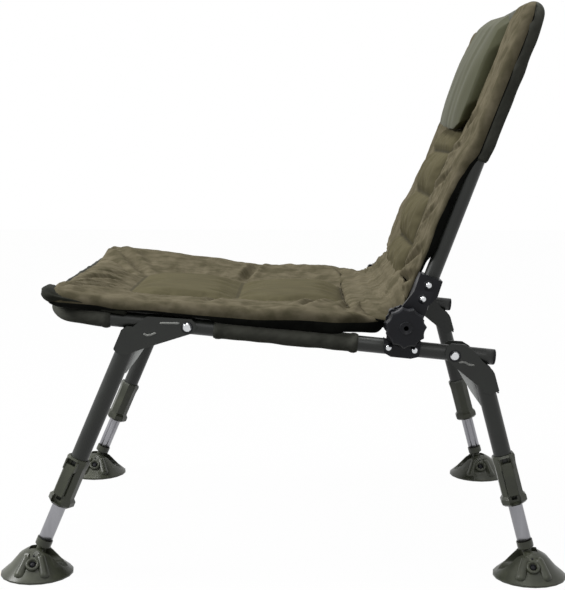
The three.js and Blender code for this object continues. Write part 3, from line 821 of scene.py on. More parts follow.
@dataclass(frozen=True)
class Coating(Finish):
    """A hard surface: a slightly uneven colour, fine relief, and gloss that varies with wear.

    Attributes:
        colour: Main colour.
        worn: Colour where it is rubbed.
        patch: Width of a patch of uneven colour and gloss.
        grain: Size of the relief's grain.
        depth: Depth of the relief.
        unevenness: How far the roughness varies.
        stretch: How far the grain is drawn out along Z.
        shine: Specular level, 0.5 for an IOR of 1.5.
    """

    colour: str = "#808080"
    worn: str = "#909090"
    patch: float = 22 * MM
    grain: float = 1.5 * MM
    depth: float = 0.03 * MM
    unevenness: float = 0.1
    stretch: float = 1.0
    shine: float = 0.5

    def dress(self, tree: bpy.types.NodeTree, shader: bpy.types.Node) -> None:
        """Links colour, roughness and relief."""
        place = add_node(
            tree,
            "ShaderNodeMapping",
            {
                "Vector": add_node(tree, "ShaderNodeTexCoord").outputs["Object"],
                "Scale": (1.0, 1.0, 1 / self.stretch),
            },
        ).outputs[0]
        patches = noise(tree, place, self.patch, 4.0)
        fine = noise(tree, place, self.grain, 2.0)
        span = (self.roughness - self.unevenness, self.roughness + self.unevenness)
        gloss = mapped(tree, patches, target=span)
        normal = add_node(tree, "ShaderNodeBump", {"Height": fine, "Distance": self.depth}).outputs[0]
        colour = self.between(tree, patches, (0.35, 0.75), (self.colour, self.worn))
        tree.links.new(colour, shader.inputs["Base Color"])
        tree.links.new(gloss, shader.inputs["Roughness"])
        tree.links.new(normal, shader.inputs["Normal"])
        shader.inputs["Specular IOR Level"].default_value = self.shine


# Brushed polyester fleece: a short pile that mottles light and dark where it is stroked
FLEECE = Weave(
    "brushed_polyester_fleece", 0.92, dark="#56513f", light="#716a57", patch=26 * MM, stretch=3.0,
    depth=0.04 * MM, nap=0.3 * MM, sheen=0.2,
)
# Peached polyester twill: a flat face with a faint diagonal
TWILL = Weave(
    "peached_polyester_twill", 0.85, dark="#57523e", light="#5f5a44", patch=60 * MM,
    thread=1.6 * MM, depth=0.08 * MM, sheen=0.15,
)
# Nylon satin: smooth and faintly bright, with a cold green cast
SATIN = Weave(
    "woven_nylon_satin", 0.5, dark="#424330", light="#494a36", patch=70 * MM, stretch=6.0,
    thread=0.9 * MM, depth=0.03 * MM, sheen=0.2,
)
# Plain-woven polyester, piece dyed nearly black
SLEEVE_CLOTH = Weave(
    "plain_woven_polyester", 0.8, dark="#50514a", light="#61625a", patch=24 * MM,
    thread=1.2 * MM, depth=0.15 * MM, sheen=0.2,
)
# The same cloth as the sleeves, rolled at the seat's front, painted much darker as shade because it faces
# away from the light
SHADED_BINDING = Weave(
    "rolled_polyester_binding_painted_shade", 0.7, dark="#1e1f1a", light="#2f3029", patch=24 * MM,
    thread=1.2 * MM, depth=0.12 * MM, sheen=0.1, shine=0.1,
)
# Coated polyester lining on the undersides, black
LINING = Weave(
    "coated_polyester_lining", 0.75, dark="#161715", light="#232421", patch=30 * MM,
    thread=1.2 * MM, depth=0.1 * MM, sheen=0.0, shine=0.02,
)
QUILT = QuiltedCover("quilted_fleece_and_twill_cover", 0.9, border=FLEECE, panel=TWILL)
# Steel tube, powder coated: satin, with a fine orange peel
POWDER_COAT = Coating(
    "powder_coated_steel", 0.4, colour="#222421", worn="#2c2f2b", grain=1.4 * MM, depth=0.02 * MM,
    shine=0.4,
)
# Drawn aluminium tube, anodised: fine lines along it
ANODISED = Coating(
    "anodised_drawn_aluminium", 0.32, 0.9, colour="#86868a", worn="#a2a2a6", grain=0.8 * MM,
    depth=0.01 * MM, unevenness=0.08, stretch=14.0,
)
# Light grey on the raised ribs: a painted highlight where their pressed edges catch the light
HIGHLIGHT_RIB_COAT = Coating(
    "painted_highlight_rib_coat", 0.35, colour="#a0a29d", worn="#b8bab5", grain=1.4 * MM, depth=0.02 * MM,
    shine=0.5,
)
# Glass-filled nylon, moulded: dull, slightly mottled
OLIVE_NYLON = Coating(
    "moulded_olive_nylon", 0.36, colour="#43463a", worn="#545747", grain=1.2 * MM, depth=0.03 * MM,
    shine=0.42,
)
BLACK_NYLON = Coating(
    "moulded_black_nylon", 0.4, colour="#15161a", worn="#1f2025", grain=1.2 * MM, depth=0.03 * MM,
    shine=0.2,
)
# Chromium-plated steel: bright, nearly a mirror
CHROME = Coating(
    "chromium_plated_steel", 0.16, 1.0, colour="#c4c6c8", worn="#d2d4d6", depth=0.004 * MM,
    unevenness=0.05,
)
# Zinc-plated sheet: pale grey with a broad spangle
ZINC = Coating(
    "zinc_plated_steel_sheet", 0.38, 0.85, colour="#989a99", worn="#aaacaa", grain=6 * MM,
    depth=0.02 * MM,
)


# Studio


@dataclass(frozen=True)
class Lamp:
    """A round soft lamp.

    Attributes:
        name: Its name.
        place: Where it stands.
        power: Its power in watts.
        size: Its width.
    """

    name: str
    place: tuple[float, float, float]
    power: float
    size: float


@dataclass(frozen=True)
class Studio:
    """A pale floor, soft lights and the photograph's camera.

    Attributes:
        eye: The camera's place.
        aim: The direction that it looks.
        focal_pixels: Its focal length in pixels of the frame.
        sensor: Width of its sensor in millimetres, which only sets the lens's length.
        frame_pixels: Width and height of the frame.
        floor_half: Half the floor's side.
        ambient: Strength of the surround where it isn't seen.
        paper: Brightness of the floor where it lights the chair from below.
        paper_seen: Brightness of the floor where it is seen.
        glow: Share of its own white that the floor shows where it is seen; the rest keeps the shadow.
        lamps: The lamps.
        lamp_aim: The point that they look at.
    """

    eye: tuple[float, float, float] = (1.996, 0.02935, 0.6285)
    aim: tuple[float, float, float] = (-0.99139, -0.01677, -0.12984)
    focal_pixels: float = 1260.0
    sensor: float = 36.0
    frame_pixels: tuple[int, int] = (565, 590)
    floor_half: float = 6.0
    ambient: float = 0.1
    paper: float = 0.14
    paper_seen: float = 0.9
    glow: float = 0.985
    lamps: tuple[Lamp, ...] = (
        Lamp("key_softbox", (0.5, -2.6, 2.2), 66.0, 1.2),
        Lamp("fill_softbox", (2.5, 0.3, 2.2), 12.0, 1.2),
        Lamp("top_softbox", (-0.2, -0.1, 3.0), 42.0, 1.4),
    )
    lamp_aim: tuple[float, float, float] = (0.0, 0.0, 0.4)

    def camera(self) -> None:
        """Makes the camera: no roll, shift or blur."""
        data = bpy.data.cameras.new("photo_camera")
        data.sensor_width = self.sensor
        data.lens = self.focal_pixels * data.sensor_width / max(self.frame_pixels)
        camera = bpy.data.objects.new("photo_camera", data)
        camera.location = self.eye
        camera.rotation_mode = "QUATERNION"
        camera.rotation_quaternion = Vector(self.aim).to_track_quat("-Z", "Y")
        bpy.context.scene.collection.objects.link(camera)
        bpy.context.scene.camera = camera

    def seen(self, tree: bpy.types.NodeTree) -> bpy.types.NodeSocket:
        """1 for camera, glossy and transmitted rays, 0 for the rest."""
        path = add_node(tree, "ShaderNodeLightPath").outputs
        first = add_node(
            tree, "ShaderNodeMath", {0: path["Is Camera Ray"], 1: path["Is Glossy Ray"]}, operation="MAXIMUM"
        ).outputs[0]
        return add_node(
            tree, "ShaderNodeMath", {0: first, 1: path["Is Transmission Ray"]}, operation="MAXIMUM"
        ).outputs[0]

    def world(self) -> None:
        """An even pale surround, white where it is seen."""
        world = bpy.data.worlds.new("pale_surround")
        bpy.context.scene.world = world
        world.use_nodes = True
        tree = world.node_tree
        tree.nodes.clear()
        strength = mapped(tree, self.seen(tree), target=(self.ambient, 1.0))
        background = add_node(
            tree, "ShaderNodeBackground", {"Color": (1, 1, 1, 1), "Strength": strength}
        )
        add_node(tree, "ShaderNodeOutputWorld", {"Surface": background.outputs[0]})

    def floor(self) -> None:
        """A matt pale floor that keeps a soft shadow."""
        half = self.floor_half
        points = np.array([[-half, -half, 0], [half, -half, 0], [half, half, 0], [-half, half, 0]])
        material = bpy.data.materials.new("matt_white_paper")
        material.use_nodes = True
        tree = material.node_tree
        tree.nodes.clear()
        seen = self.seen(tree)
        brightness = mapped(tree, seen, target=(self.paper, self.paper_seen))
        paper = add_node(tree, "ShaderNodeBsdfDiffuse", {"Color": brightness})
        glow = add_node(tree, "ShaderNodeEmission", {"Color": (1, 1, 1, 1), "Strength": 1.0})
        share = mapped(tree, seen, target=(0.0, self.glow))
        mixed = add_node(
            tree, "ShaderNodeMixShader", {0: share, 1: paper.outputs[0], 2: glow.outputs[0]}
        )
        add_node(tree, "ShaderNodeOutputMaterial", {"Surface": mixed.outputs[0]})
        mesh = bpy.data.meshes.new("floor")
        mesh.from_pydata(points.tolist(), [], [(0, 1, 2, 3)])
        mesh.materials.append(material)
        floor = bpy.data.objects.new("floor", mesh)
        bpy.context.scene.collection.objects.link(floor)

    def lights(self) -> None:
        """Soft area lamps that look at the seat."""
        for lamp in self.lamps:
            data = bpy.data.lights.new(lamp.name, "AREA")
            data.energy = lamp.power
            data.shape = "DISK"
            data.size = lamp.size
            light = bpy.data.objects.new(lamp.name, data)
            light.location = lamp.place
            light.rotation_mode = "QUATERNION"
            away = Vector(self.lamp_aim) - Vector(lamp.place)
            light.rotation_quaternion = away.to_track_quat("-Z", "Y")
            bpy.context.scene.collection.objects.link(light)

    def build(self) -> None:
        """Makes the whole studio."""
        self.camera()
        self.world()
        self.floor()
        self.lights()
        bpy.context.scene.view_settings.view_transform = "Standard"


# Tubes and their sleeves

PATH_STEP = 12 * MM
STRAIGHT_STEP = 10 * MM
FINE_STEP = 4 * MM
BEND_POINTS = 25


def u_path(slant: Slant, half: float, open_end: float, closed_end: float, bend: float) -> Array:
    """The middle line of a U: straight, a quarter circle, straight across, a quarter circle, straight.

    Args:
        slant: The frame that it lies in.
        half: Half its width.
        open_end: Along place of its two ends.
        closed_end: Along place of the tube across.
        bend: Radius of its two bends.

    Returns:
        Points from the left end to the right end.
    """
    side = math.copysign(1, closed_end - open_end)
    legs = even_steps(open_end, closed_end - side * bend, PATH_STEP)
    angle = np.linspace(0, math.pi / 2, BEND_POINTS)[1:]
    across = np.concatenate([np.full(len(legs), half), half - bend + bend * np.cos(angle)])
    along = np.concatenate([legs, closed_end - side * bend * (1 - np.sin(angle))])
    middle = even_steps(half - bend, bend - half, PATH_STEP)[1:-1]
    across = np.concatenate([across, middle, -across[::-1]])
    along = np.concatenate([along, np.full(len(middle), closed_end), along[::-1]])
    return slant.place(across, along, np.zeros_like(along))


@dataclass(frozen=True)
class TubeFrames:
    """The steel tubes of the seat and back, and the telescopic leg tubes.

    Attributes:
        rail_end: Along place of the rails' rear ends.
        rail_front: Along place of the front tube's axis.
        rail_bend: Radius of the front bends.
        back_low: Along place of the back tubes' lower ends.
        back_top: Along place of the top tube's axis.
        back_bend: Radius of the top bends.
        outer: Radius of an outer leg tube.
        inner: Radius of an inner leg tube.
        inner_start: Distance from a foot's pin to the inner tube's lower end.
        lock_length: How far a lock covers its outer tube.
        groove_depth: Depth of the two guide grooves down the inward side of each inner tube.
        groove_turns: Their places, as shares of a turn from the outer side.
        groove_width: Half width of a groove as a share of a turn.
        inner_segments: Points in a ring of an inner tube, enough to draw the grooves.
    """

    rail_end: float = 425.8 * MM
    rail_front: float = -189.6 * MM
    rail_bend: float = 70 * MM
    back_low: float = -47 * MM
    back_top: float = 383 * MM
    back_bend: float = 32 * MM
    outer: float = 12.5 * MM
    inner: float = 10 * MM
    inner_start: float = 31 * MM
    lock_length: float = 65 * MM
    groove_depth: float = 2.6 * MM
    groove_turns: tuple[float, ...] = (0.42, 0.58)
    groove_width: float = 0.016
    inner_segments: int = 96

    def rail_path(self, start: float | None = None) -> Array:
        """The seat frame's middle line, from the rear or from another along place."""
        open_end = self.rail_end if start is None else start
        return u_path(SEAT, SIDE_X, open_end, self.rail_front, self.rail_bend)

    def back_path(self, start: float | None = None) -> Array:
        """The back frame's middle line, from its lower ends or from another along place."""
        open_end = self.back_low if start is None else start
        return u_path(BACK, SIDE_X, open_end, self.back_top, self.back_bend)

    def straight(self, line: LegLine, x: float, start: float, end: float) -> Array:
        """Points up a leg's axis."""
        along = even_steps(start, end, STRAIGHT_STEP)
        return line.slant().place(x, along, 0.0)

    def build(self) -> list[bpy.types.Object]:
        """Makes all tubes.

        Returns:
            The new pieces.
        """
        coat, anodised = POWDER_COAT.material(), ANODISED.material()
        made = []
        for name, slant, path, body in (
            ("seat_frame_tube", SEAT, self.rail_path(), "seat"),
            ("back_frame_tube", BACK, self.back_path(), "back"),
        ):
            piece = piece_from(name, *swept(path, slant.normal(), TUBE_RADIUS), [coat])
            made.append(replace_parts(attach(piece, body), body + "_frame"))
        for side, sign in SIDES.items():
            for end, line in LEG_LINES.items():
                made += self.leg(f"{end}_{side}", line, sign, coat, anodised)
        return made

    def leg(
        self,
        label: str,
        line: LegLine,
        sign: float,
        coat: bpy.types.Material,
        anodised: bpy.types.Material,
    ) -> list[bpy.types.Object]:
        """One leg's outer and inner tube.

        Args:
            label: The leg's name.
            line: Its axis.
            sign: 1 on the left, -1 on the right.
            coat: Finish of the outer tube.
            anodised: Finish of the inner tube.

        Returns:
            The two pieces.
        """
        outer_path = self.straight(line, sign * SIDE_X, line.lock_top - self.lock_length, line.top)
        outer = piece_from(
            f"{label}_upper_tube", *swept(outer_path, (sign, 0, 0), self.outer), [coat]
        )
        inner_path = self.straight(line, sign * SIDE_X, self.inner_start, line.inner_top)
        turns = np.linspace(0, 1, self.inner_segments, endpoint=False)
        dents = sum(np.exp(-(((turns - at) / self.groove_width) ** 2)) for at in self.groove_turns)
        radius = (self.inner - self.groove_depth * dents)[None, :]
        shape = swept(inner_path, (sign, 0, 0), radius, self.inner_segments)
        inner = piece_from(f"{label}_lower_tube", *shape, [anodised])
        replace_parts(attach(outer, f"{label}_leg"), f"{label}_outer_tube")
        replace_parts(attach(inner, f"{label}_inner_leg"), f"{label}_inner_tube")
        return [outer, inner]


@dataclass(frozen=True)
class Sleeves:
    """Woven sleeves round the tubes, sewn to the cushions: slightly loose, with a folded hem at each end.

    Attributes:
        front_end: Along place of both ends of the front sleeve, on the rails.
        rail_start: Along place of a rail sleeve's front end.
        rail_end: Along place of its rear end.
        back_start: Along place of both ends of the back's sleeve.
        looseness: Height of the soft ripples.
        ripple: Length of the ripples.
        back_slack: How far the cloth stands off behind the back's tube.
        slack_run: Distance from an end over which it comes to stand off.
        hem: Length of a hem.
        hem_edge: Half the length over which a hem drops to the cloth.
        hem_rise: How far a hem stands out.
        tuck: Radius of the rounding at each end.
        segments: Points in a ring.
    """

    front_end: float = -107.5 * MM
    rail_start: float = 36.6 * MM
    rail_end: float = 237.2 * MM
    back_start: float = 169 * MM
    looseness: float = 0.3 * MM
    ripple: float = 64 * MM
    back_slack: float = 3.5 * MM
    slack_run: float = 30 * MM
    hem: float = 9 * MM
    hem_edge: float = 1.5 * MM
    hem_rise: float = 1.1 * MM
    tuck: float = 1.6 * MM
    segments: int = 40

    def sleeve(
        self, name: str, path: Array, across: Vector, body: str, node: str, seed: int, slack: float = 0.0
    ) -> bpy.types.Object:
        """One sleeve: a tube whose radius ripples, stands out at the hems and tucks in at the ends.

        Args:
            name: The piece's name.
            path: Its middle line.
            across: Direction square to the plane of the path.
            body: The body that it rides on.
            node: The solid that it stands for.
            seed: Number that fixes its ripples.
            slack: How far it stands off on the side away from across.

        Returns:
            The piece.
        """
        path, fine = resampled(path, FINE_STEP)
        turn = np.linspace(0, 2 * math.pi, self.segments, endpoint=False)[None, :]
        along = fine[:, None]
        wave = ripples(along, turn * SLEEVE_RADIUS, self.ripple, 0.5, 0.5, seed)
        wave = wave * (1 - 0.5 * np.cos(turn))
        from_end = np.minimum(along, fine[-1] - along)
        hem = smoothstep(self.hem + self.hem_edge, self.hem - self.hem_edge, from_end)
        radius = SLEEVE_RADIUS + self.looseness * wave * (1 - hem) + self.hem_rise * hem
        radius = radius - self.tuck * (1 - round_share(from_end, self.tuck))
        radius = radius + slack * (1 - np.cos(turn)) / 2 * smoothstep(0, self.slack_run, from_end)
        points, faces = swept(path, np.array(across), radius, self.segments)
        piece = piece_from(name, points, faces, [SLEEVE_CLOTH.material()])
        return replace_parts(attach(piece, body), node)

    def build(self, tubes: TubeFrames) -> list[bpy.types.Object]:
        """Makes the sleeves on the front bend, both rails and the back's top.

        Args:
            tubes: The tubes that they wrap.

        Returns:
            The new pieces.
        """
        made = [
            self.sleeve(
                "front_bend_sleeve", tubes.rail_path(self.front_end), SEAT.normal(), "seat",
                "front_sleeve", 11,
            ),
            self.sleeve(
                "top_bend_sleeve", tubes.back_path(self.back_start), BACK.normal(), "back",
                "back_sleeve", 12, self.back_slack,
            ),
        ]
        for side, sign in SIDES.items():
            along = even_steps(self.rail_start, self.rail_end, STRAIGHT_STEP)
            path = SEAT.place(sign * SIDE_X, along, 0.0)
            made.append(
                self.sleeve(
                    f"{side}_side_sleeve", path, SEAT.normal(), "seat", f"{side}_rail_sleeve", 13
                )
            )
        return made


# Cushions


@dataclass(frozen=True)
class Panels:
    """Rows of crowned panels down the middle of a cushion, with rounded corners where a row ends.

    Attributes:
        half: Half the panels' width.
        seams: Along places of the sewn lines across.
        corner: Radius of the corners.
        crown: Height of a panel's crown.
        shoulder: How far in from the outline a panel reaches its full height.
        seam_reach: How far a sewn line between panels runs on into the border.
        fullness: Power of the sine that a crown follows; the lower, the fuller the panel.
    """

    half: float
    seams: tuple[float, ...]
    corner: float
    crown: float
    shoulder: float = 40 * MM
    seam_reach: float = 30 * MM
    fullness: float = 0.5

    def edge(self, x: Array, along: Array) -> Array:
        """Distance inside the panels' common outline, a rounded rectangle; negative outside."""
        low, high = self.seams[0], self.seams[-1]
        over_x = np.abs(x) - (self.half - self.corner)
        over_y = np.abs(along - (low + high) / 2) - ((high - low) / 2 - self.corner)
        outside = np.hypot(np.maximum(over_x, 0), np.maximum(over_y, 0))
        return self.corner - outside - np.minimum(np.maximum(over_x, over_y), 0)

    def seam_gap(self, x: Array, along: Array) -> Array:
        """Distance from the nearest sewn line, whether round the panels or between them."""
        gap = np.abs(self.edge(x, along))
        for seam in self.seams[1:-1]:
            between = np.hypot(along - seam, np.maximum(np.abs(x) - self.half, 0))
            gap = np.minimum(gap, between)
        return gap

    def groove(self, x: Array, along: Array, width: float) -> Array:
        """Share of a groove's depth: exp(-(distance / width) squared), running on past the outline."""
        share = np.exp(-((np.abs(self.edge(x, along)) / width) ** 2))
        for seam in self.seams[1:-1]:
            beyond = np.clip((np.abs(x) - self.half) / self.seam_reach, 0, 1)
            share = np.maximum(share, (1 - beyond) * np.exp(-(((along - seam) / width) ** 2)))
        return share

    def swell(self, x: Array, along: Array) -> Array:
        """Crown of the panels: a share of the full crown that rises as a power of a sine."""
        edge = np.clip(self.edge(x, along), 0, None)
        share = np.zeros(np.broadcast(x, along).shape)
        for low, high in zip(self.seams[:-1], self.seams[1:]):
            t = np.clip((along - low) / (high - low), 0, 1)
            share = np.maximum(share, np.sin(math.pi * t) ** self.fullness)
        return self.crown * share * round_share(edge, self.shoulder)


@dataclass(frozen=True)
class Crease:
    """One deep fold in the fleece, from one place to another.

    Attributes:
        start: Place across and along where it starts.
        end: Place across and along where it ends.
        depth: Its depth in the middle.
        width: Half its width.
        fade: Power of the sine that its depth follows from end to end.
        ridge: Height of the ridge on each side, as a share of the depth.
        ridge_place: Distance of a ridge from the fold's middle, in half widths.
        ridge_width: Half width of a ridge, in half widths of the fold.
    """

    start: tuple[float, float]
    end: tuple[float, float]
    depth: float
    width: float = 5 * MM
    fade: float = 0.7
    ridge: float = 0.45
    ridge_place: float = 1.9
    ridge_width: float = 0.8

    def lift(self, x: Array, along: Array) -> Array:
        """Height that the fold adds, below 0 in its valley, with a low ridge on each side.

        Args:
            x: Places across.
            along: Places along.

        Returns:
            Its depth times a sine from end to end times (ridge - exp(-(distance / width) squared)).
        """
        run = np.subtract(self.end, self.start)
        length = float(np.hypot(*run))
        t = ((x - self.start[0]) * run[0] + (along - self.start[1]) * run[1]) / length**2
        away = ((x - self.start[0]) * run[1] - (along - self.start[1]) * run[0]) / length / self.width
        fade = np.sin(math.pi * np.clip(t, 0, 1)) ** self.fade
        ridge = self.ridge * np.exp(-(((np.abs(away) - self.ridge_place) / self.ridge_width) ** 2))
        return self.depth * fade * (ridge - np.exp(-(away**2)))


@dataclass(frozen=True)
class Folds:
    """Folds of the loose fleece round the panels.

    Attributes:
        height: Height of the folds.
        fan: Length of the ripples that fan out from the panels' corners.
        across_rim: Length of the ripples across the side rims.
        along_rim: Length of the ripples along them.
        broad: Length of the broad unevenness.
        core_half: Half width of the middle from which they fan out.
        core_inset: How far the middle ends short of the panels' rows.
        fan_radius: Radius at which a fanned ripple has its full length.
        loose_start: Distance outside the panels' edge where the fleece starts to fold.
        loose_full: Distance where it folds fully.
        side_start: Distance outside the panels' sides where the rims' ripples start.
        far_start: Distance right of the middle where the fanned ripples start to calm.
        far_full: Distance where they are calmest.
        sharpness: How narrow the valleys are.
    """

    height: float = 1.5 * MM
    fan: float = 27 * MM
    across_rim: float = 21 * MM
    along_rim: float = 120 * MM
    broad: float = 110 * MM
    core_half: float = 70 * MM
    core_inset: float = 60 * MM
    fan_radius: float = 130 * MM
    loose_start: float = 3 * MM
    loose_full: float = 30 * MM
    side_start: float = 40 * MM
    far_start: float = 30 * MM
    far_full: float = 150 * MM
    sharpness: float = 1.4


@dataclass(frozen=True)
class Quilt:
    """A quilted cushion as two height fields that meet at a rounded rim.

    Attributes:
        name: The piece's name.
        slant: The frame that it lies in.
        body: The body that it rides on.
        node: The solid that it stands for.
        front: First along place.
        rear: Last along place.
        panels: Its panels.
        channel: Height along the middle, at the sewn lines.
        border: Height of the left border near the rim.
        far_border: Height of the right border near the rim.
        outline: Half width along the cushion.
        border_inner: Where the border reaches its full height.
        sag: How far the underside hangs between the tubes.
        drape: How far the underside's rim hangs beside the tubes, along the cushion.
        creases: Deep folds of the fleece.
        rim: Height of the rim's line, where fleece and lining meet.
        rounding: Radius of the rim.
        clear: Height of the underside over the tubes.
        front_run: Distances from the front over which the underside comes to hang.
        rear_run: Distances from the rear over which it comes to hang.
        hang_run: Distances outside the tubes' axes over which its rim comes to hang beside them.
        thin: Its least thickness.
        cap: How far the simulation may move a point on a panel.
        loose_cap: The same on the border.
        cap_run: Distances inside the panels' edge over which the cap grows.
        seam_hold: Distances from a sewn line over which the simulation lets go of the cover.
        rim_hold: The same from the rim.
        step: Spacing of the points before the mesh is subdivided.
        folds: Folds of its fleece.
        groove_depth: Depth of the sewn lines.
        groove_width: Half width of a sewn line's groove.
        pucker: Height of the small puckers beside the sewn lines.
        pucker_length: Length of the puckers.
        pucker_reach: How far from a sewn line they run out.
        pucker_run: Distances from a sewn line over which they start.
        cover_run: Heights over the rim's line over which the cover's relief starts.
        relief_run: Distances in from the rim over which it starts.
        seed: Number that fixes its wrinkles.
    """

    name: str
    slant: Slant
    body: str
    node: str
    front: float
    rear: float
    panels: Panels
    channel: tuple[tuple[float, float], ...]
    border: tuple[tuple[float, float], ...]
    far_border: tuple[tuple[float, float], ...]
    outline: tuple[tuple[float, float], ...]
    border_inner: float
    sag: float
    drape: tuple[tuple[float, float], ...]
    creases: tuple[Crease, ...]
    rim: tuple[tuple[float, float], ...]
    rounding: float = 13 * MM
    clear: float = 13.5 * MM
    front_run: tuple[float, float] = (20 * MM, 60 * MM)
    rear_run: tuple[float, float] = (26 * MM, 65 * MM)
    hang_run: tuple[float, float] = (-3 * MM, 10 * MM)
    thin: float = 3 * MM
    cap: float = 5 * MM
    loose_cap: float = 2 * MM
    cap_run: tuple[float, float] = (-4 * MM, 8 * MM)
    seam_hold: tuple[float, float] = (2 * MM, 9 * MM)
    rim_hold: tuple[float, float] = (8 * MM, 26 * MM)
    step: float = 6 * MM
    folds: Folds = Folds()
    groove_depth: float = 2.6 * MM
    groove_width: float = 4.5 * MM
    pucker: float = 0.3 * MM
    pucker_length: float = 10 * MM
    pucker_reach: float = 14 * MM
    pucker_run: tuple[float, float] = (1 * MM, 5 * MM)
    cover_run: tuple[float, float] = (-2 * MM, 5 * MM)
    relief_run: tuple[float, float] = (-2 * MM, 10 * MM)
    seed: int = 5

    def underside(self, x: Array, along: Array) -> Array:
        """Height of the underside: just over the tubes, hanging between them and beside them."""
        inside = 1 - smoothstep(self.panels.half, SIDE_X - 2 * SLEEVE_RADIUS, np.abs(x))
        from_front = smoothstep(*self.front_run, along - self.front)
        from_rear = smoothstep(*self.rear_run, self.rear - along)
        beside = smoothstep(*self.hang_run, np.abs(x) - SIDE_X) * eased(self.drape, along)
        return self.clear - self.sag * inside * np.minimum(from_front, from_rear) - beside

    def top(self, x: Array, along: Array) -> Array:
        """Height of the cover, from the channel's in the middle to the border's, plus the panels' crown."""
        side = smoothstep(self.panels.half, self.border_inner, np.abs(x))
        near, far = eased(self.border, along), eased(self.far_border, along)
        edge = np.where(x > 0, near, far)
        middle = eased(self.channel, along)
        return middle + (edge - middle) * side + self.panels.swell(x, along)

    def wrinkles(self, x: Array, along: Array) -> Array:
        """Folds of the loose fleece: creased ripples that fan out from the panels' corners to the rim,
        drawn out along the rim near it, with the deep folds on top."""
        folds, edge = self.folds, self.panels.edge(x, along)
        loose = smoothstep(-folds.loose_start, -folds.loose_full, edge)
        low, high = self.panels.seams[0], self.panels.seams[-1]
        core_y = np.clip(along, low + folds.core_inset, high - folds.core_inset)
        core_x = np.clip(x, -folds.core_half, folds.core_half)
        turn = np.arctan2(along - core_y, x - core_x)
        reach = np.hypot(along - core_y, x - core_x)
        spread = turn * folds.fan_radius + core_x + core_y
        fanned = ripples(spread, reach, folds.fan, 0.0, 0.12, self.seed)
        rim = ripples(x, along, folds.across_rim, 0.0, 0.1, self.seed + 1)
        drawn = ripples(along, x, folds.along_rim, 0.0, 0.3, self.seed + 3)
        broad = ripples(x, along, folds.broad, 0.8, 0.9, self.seed + 2)
        side = smoothstep(self.panels.half + folds.side_start, self.border_inner, np.abs(x))
        far = smoothstep(-folds.far_start, -folds.far_full, x)
        wave = fanned * (1 - 0.75 * side) * (1 - 0.5 * far) + (rim + 0.6 * drawn) * 0.7 * side
        lift = loose * folds.height * (creased(wave, folds.sharpness) - 0.6 + 0.55 * broad)
        return lift + sum(crease.lift(x, along) for crease in self.creases)

    def build(self) -> bpy.types.Object:
        """Makes, inflates and dresses the cushion.

        Returns:
            The piece.
        """
        along = rim_steps(self.front, self.rear, self.rounding, self.step)
        shares = rim_steps(-1.0, 1.0, self.rounding / SIDE_X, self.step / SIDE_X)
        rows, columns = np.meshgrid(along, shares, indexing="ij")
        half_width = eased(self.outline, rows)
        x = columns * half_width
        high = self.top(x, rows)
        low = np.minimum(self.underside(x, rows), high - self.thin)
        rim_x = round_share(half_width - np.abs(x), self.rounding)
        rim_y = round_share(np.minimum(rows - self.front, self.rear - rows), self.rounding)
        share = rim_x * rim_y
        rim_line = eased(self.rim, rows)
        upper = self.slant.place(x, rows, rim_line + (high - rim_line) * share)
        lower = self.slant.place(x, rows, rim_line + (low - rim_line) * share)
        points, top_faces, under_faces = pad_shell(upper, lower)
        faces = np.concatenate([top_faces, under_faces])
        slots = np.concatenate([np.zeros(len(top_faces)), np.ones(len(under_faces))])
        piece = piece_from(
            self.name, points, faces, [QUILT.material(), LINING.material()], slots
        )
        self.inflate(piece, x, rows)
        self.refine(piece)
        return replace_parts(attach(piece, self.body), self.node)

    def rim_gap(self, x: Array, along: Array) -> Array:
        """Distance in from the nearest rim."""
        across = eased(self.outline, along) - np.abs(x)
        return np.minimum(across, np.minimum(along - self.front, self.rear - along))

    def inflate(self, piece: bpy.types.Object, x: Array, along: Array) -> None:
        """Swells the cover by cloth pressure, held at its sewn lines, rim and underside.

        Args:
            piece: The cushion.
            x: Place across of each vertex of the cover.
            along: Place along of each vertex of the cover.
        """
        gap = self.panels.seam_gap(x, along).ravel()
        rim = self.rim_gap(x, along).ravel()
        held = 1 - np.minimum(smoothstep(*self.seam_hold, gap), smoothstep(*self.rim_hold, rim))
        weights = np.ones(len(piece.data.vertices))
        weights[: x.size] = held
        caps = np.zeros(len(weights))
        inside = smoothstep(*self.cap_run, self.panels.edge(x, along)).ravel()
        caps[: x.size] = self.loose_cap + (self.cap - self.loose_cap) * inside
        swell_by_cloth(piece, weights, caps)

    def refine(self, piece: bpy.types.Object) -> None:
        """Subdivides the mesh once, then presses in the seams and lays the fleece's folds."""
        subdivide(piece)
        points = coordinates(piece.data)
        c, s = math.cos(self.slant.tilt), math.sin(self.slant.tilt)
        y, z = points[:, 1] - self.slant.y, points[:, 2] - self.slant.z
        x, along, height = points[:, 0], y * c + z * s, -y * s + z * c
        line = eased(self.rim, along)
        upper = smoothstep(*self.cover_run, height - line)
        edge, gap = self.panels.edge(x, along), self.panels.seam_gap(x, along)
        groove = self.groove_depth * self.panels.groove(x, along, self.groove_width)
        puckers = ripples(x, along, self.pucker_length, 0.6, 1.2, self.seed + 7)
        near = np.exp(-((gap / self.pucker_reach) ** 2)) * smoothstep(*self.pucker_run, gap)
        lift = self.wrinkles(x, along) - groove + self.pucker * puckers * near
        lift = lift * upper * smoothstep(*self.relief_run, self.rim_gap(x, along))
        points += lift[:, None] * np.array(self.slant.normal())
        set_coordinates(piece.data, points)
        write_attribute(piece, "panel_edge", np.where(upper > 0, edge, -1.0))
        write_attribute(piece, "seam_gap", np.where(upper > 0, gap, 1.0))


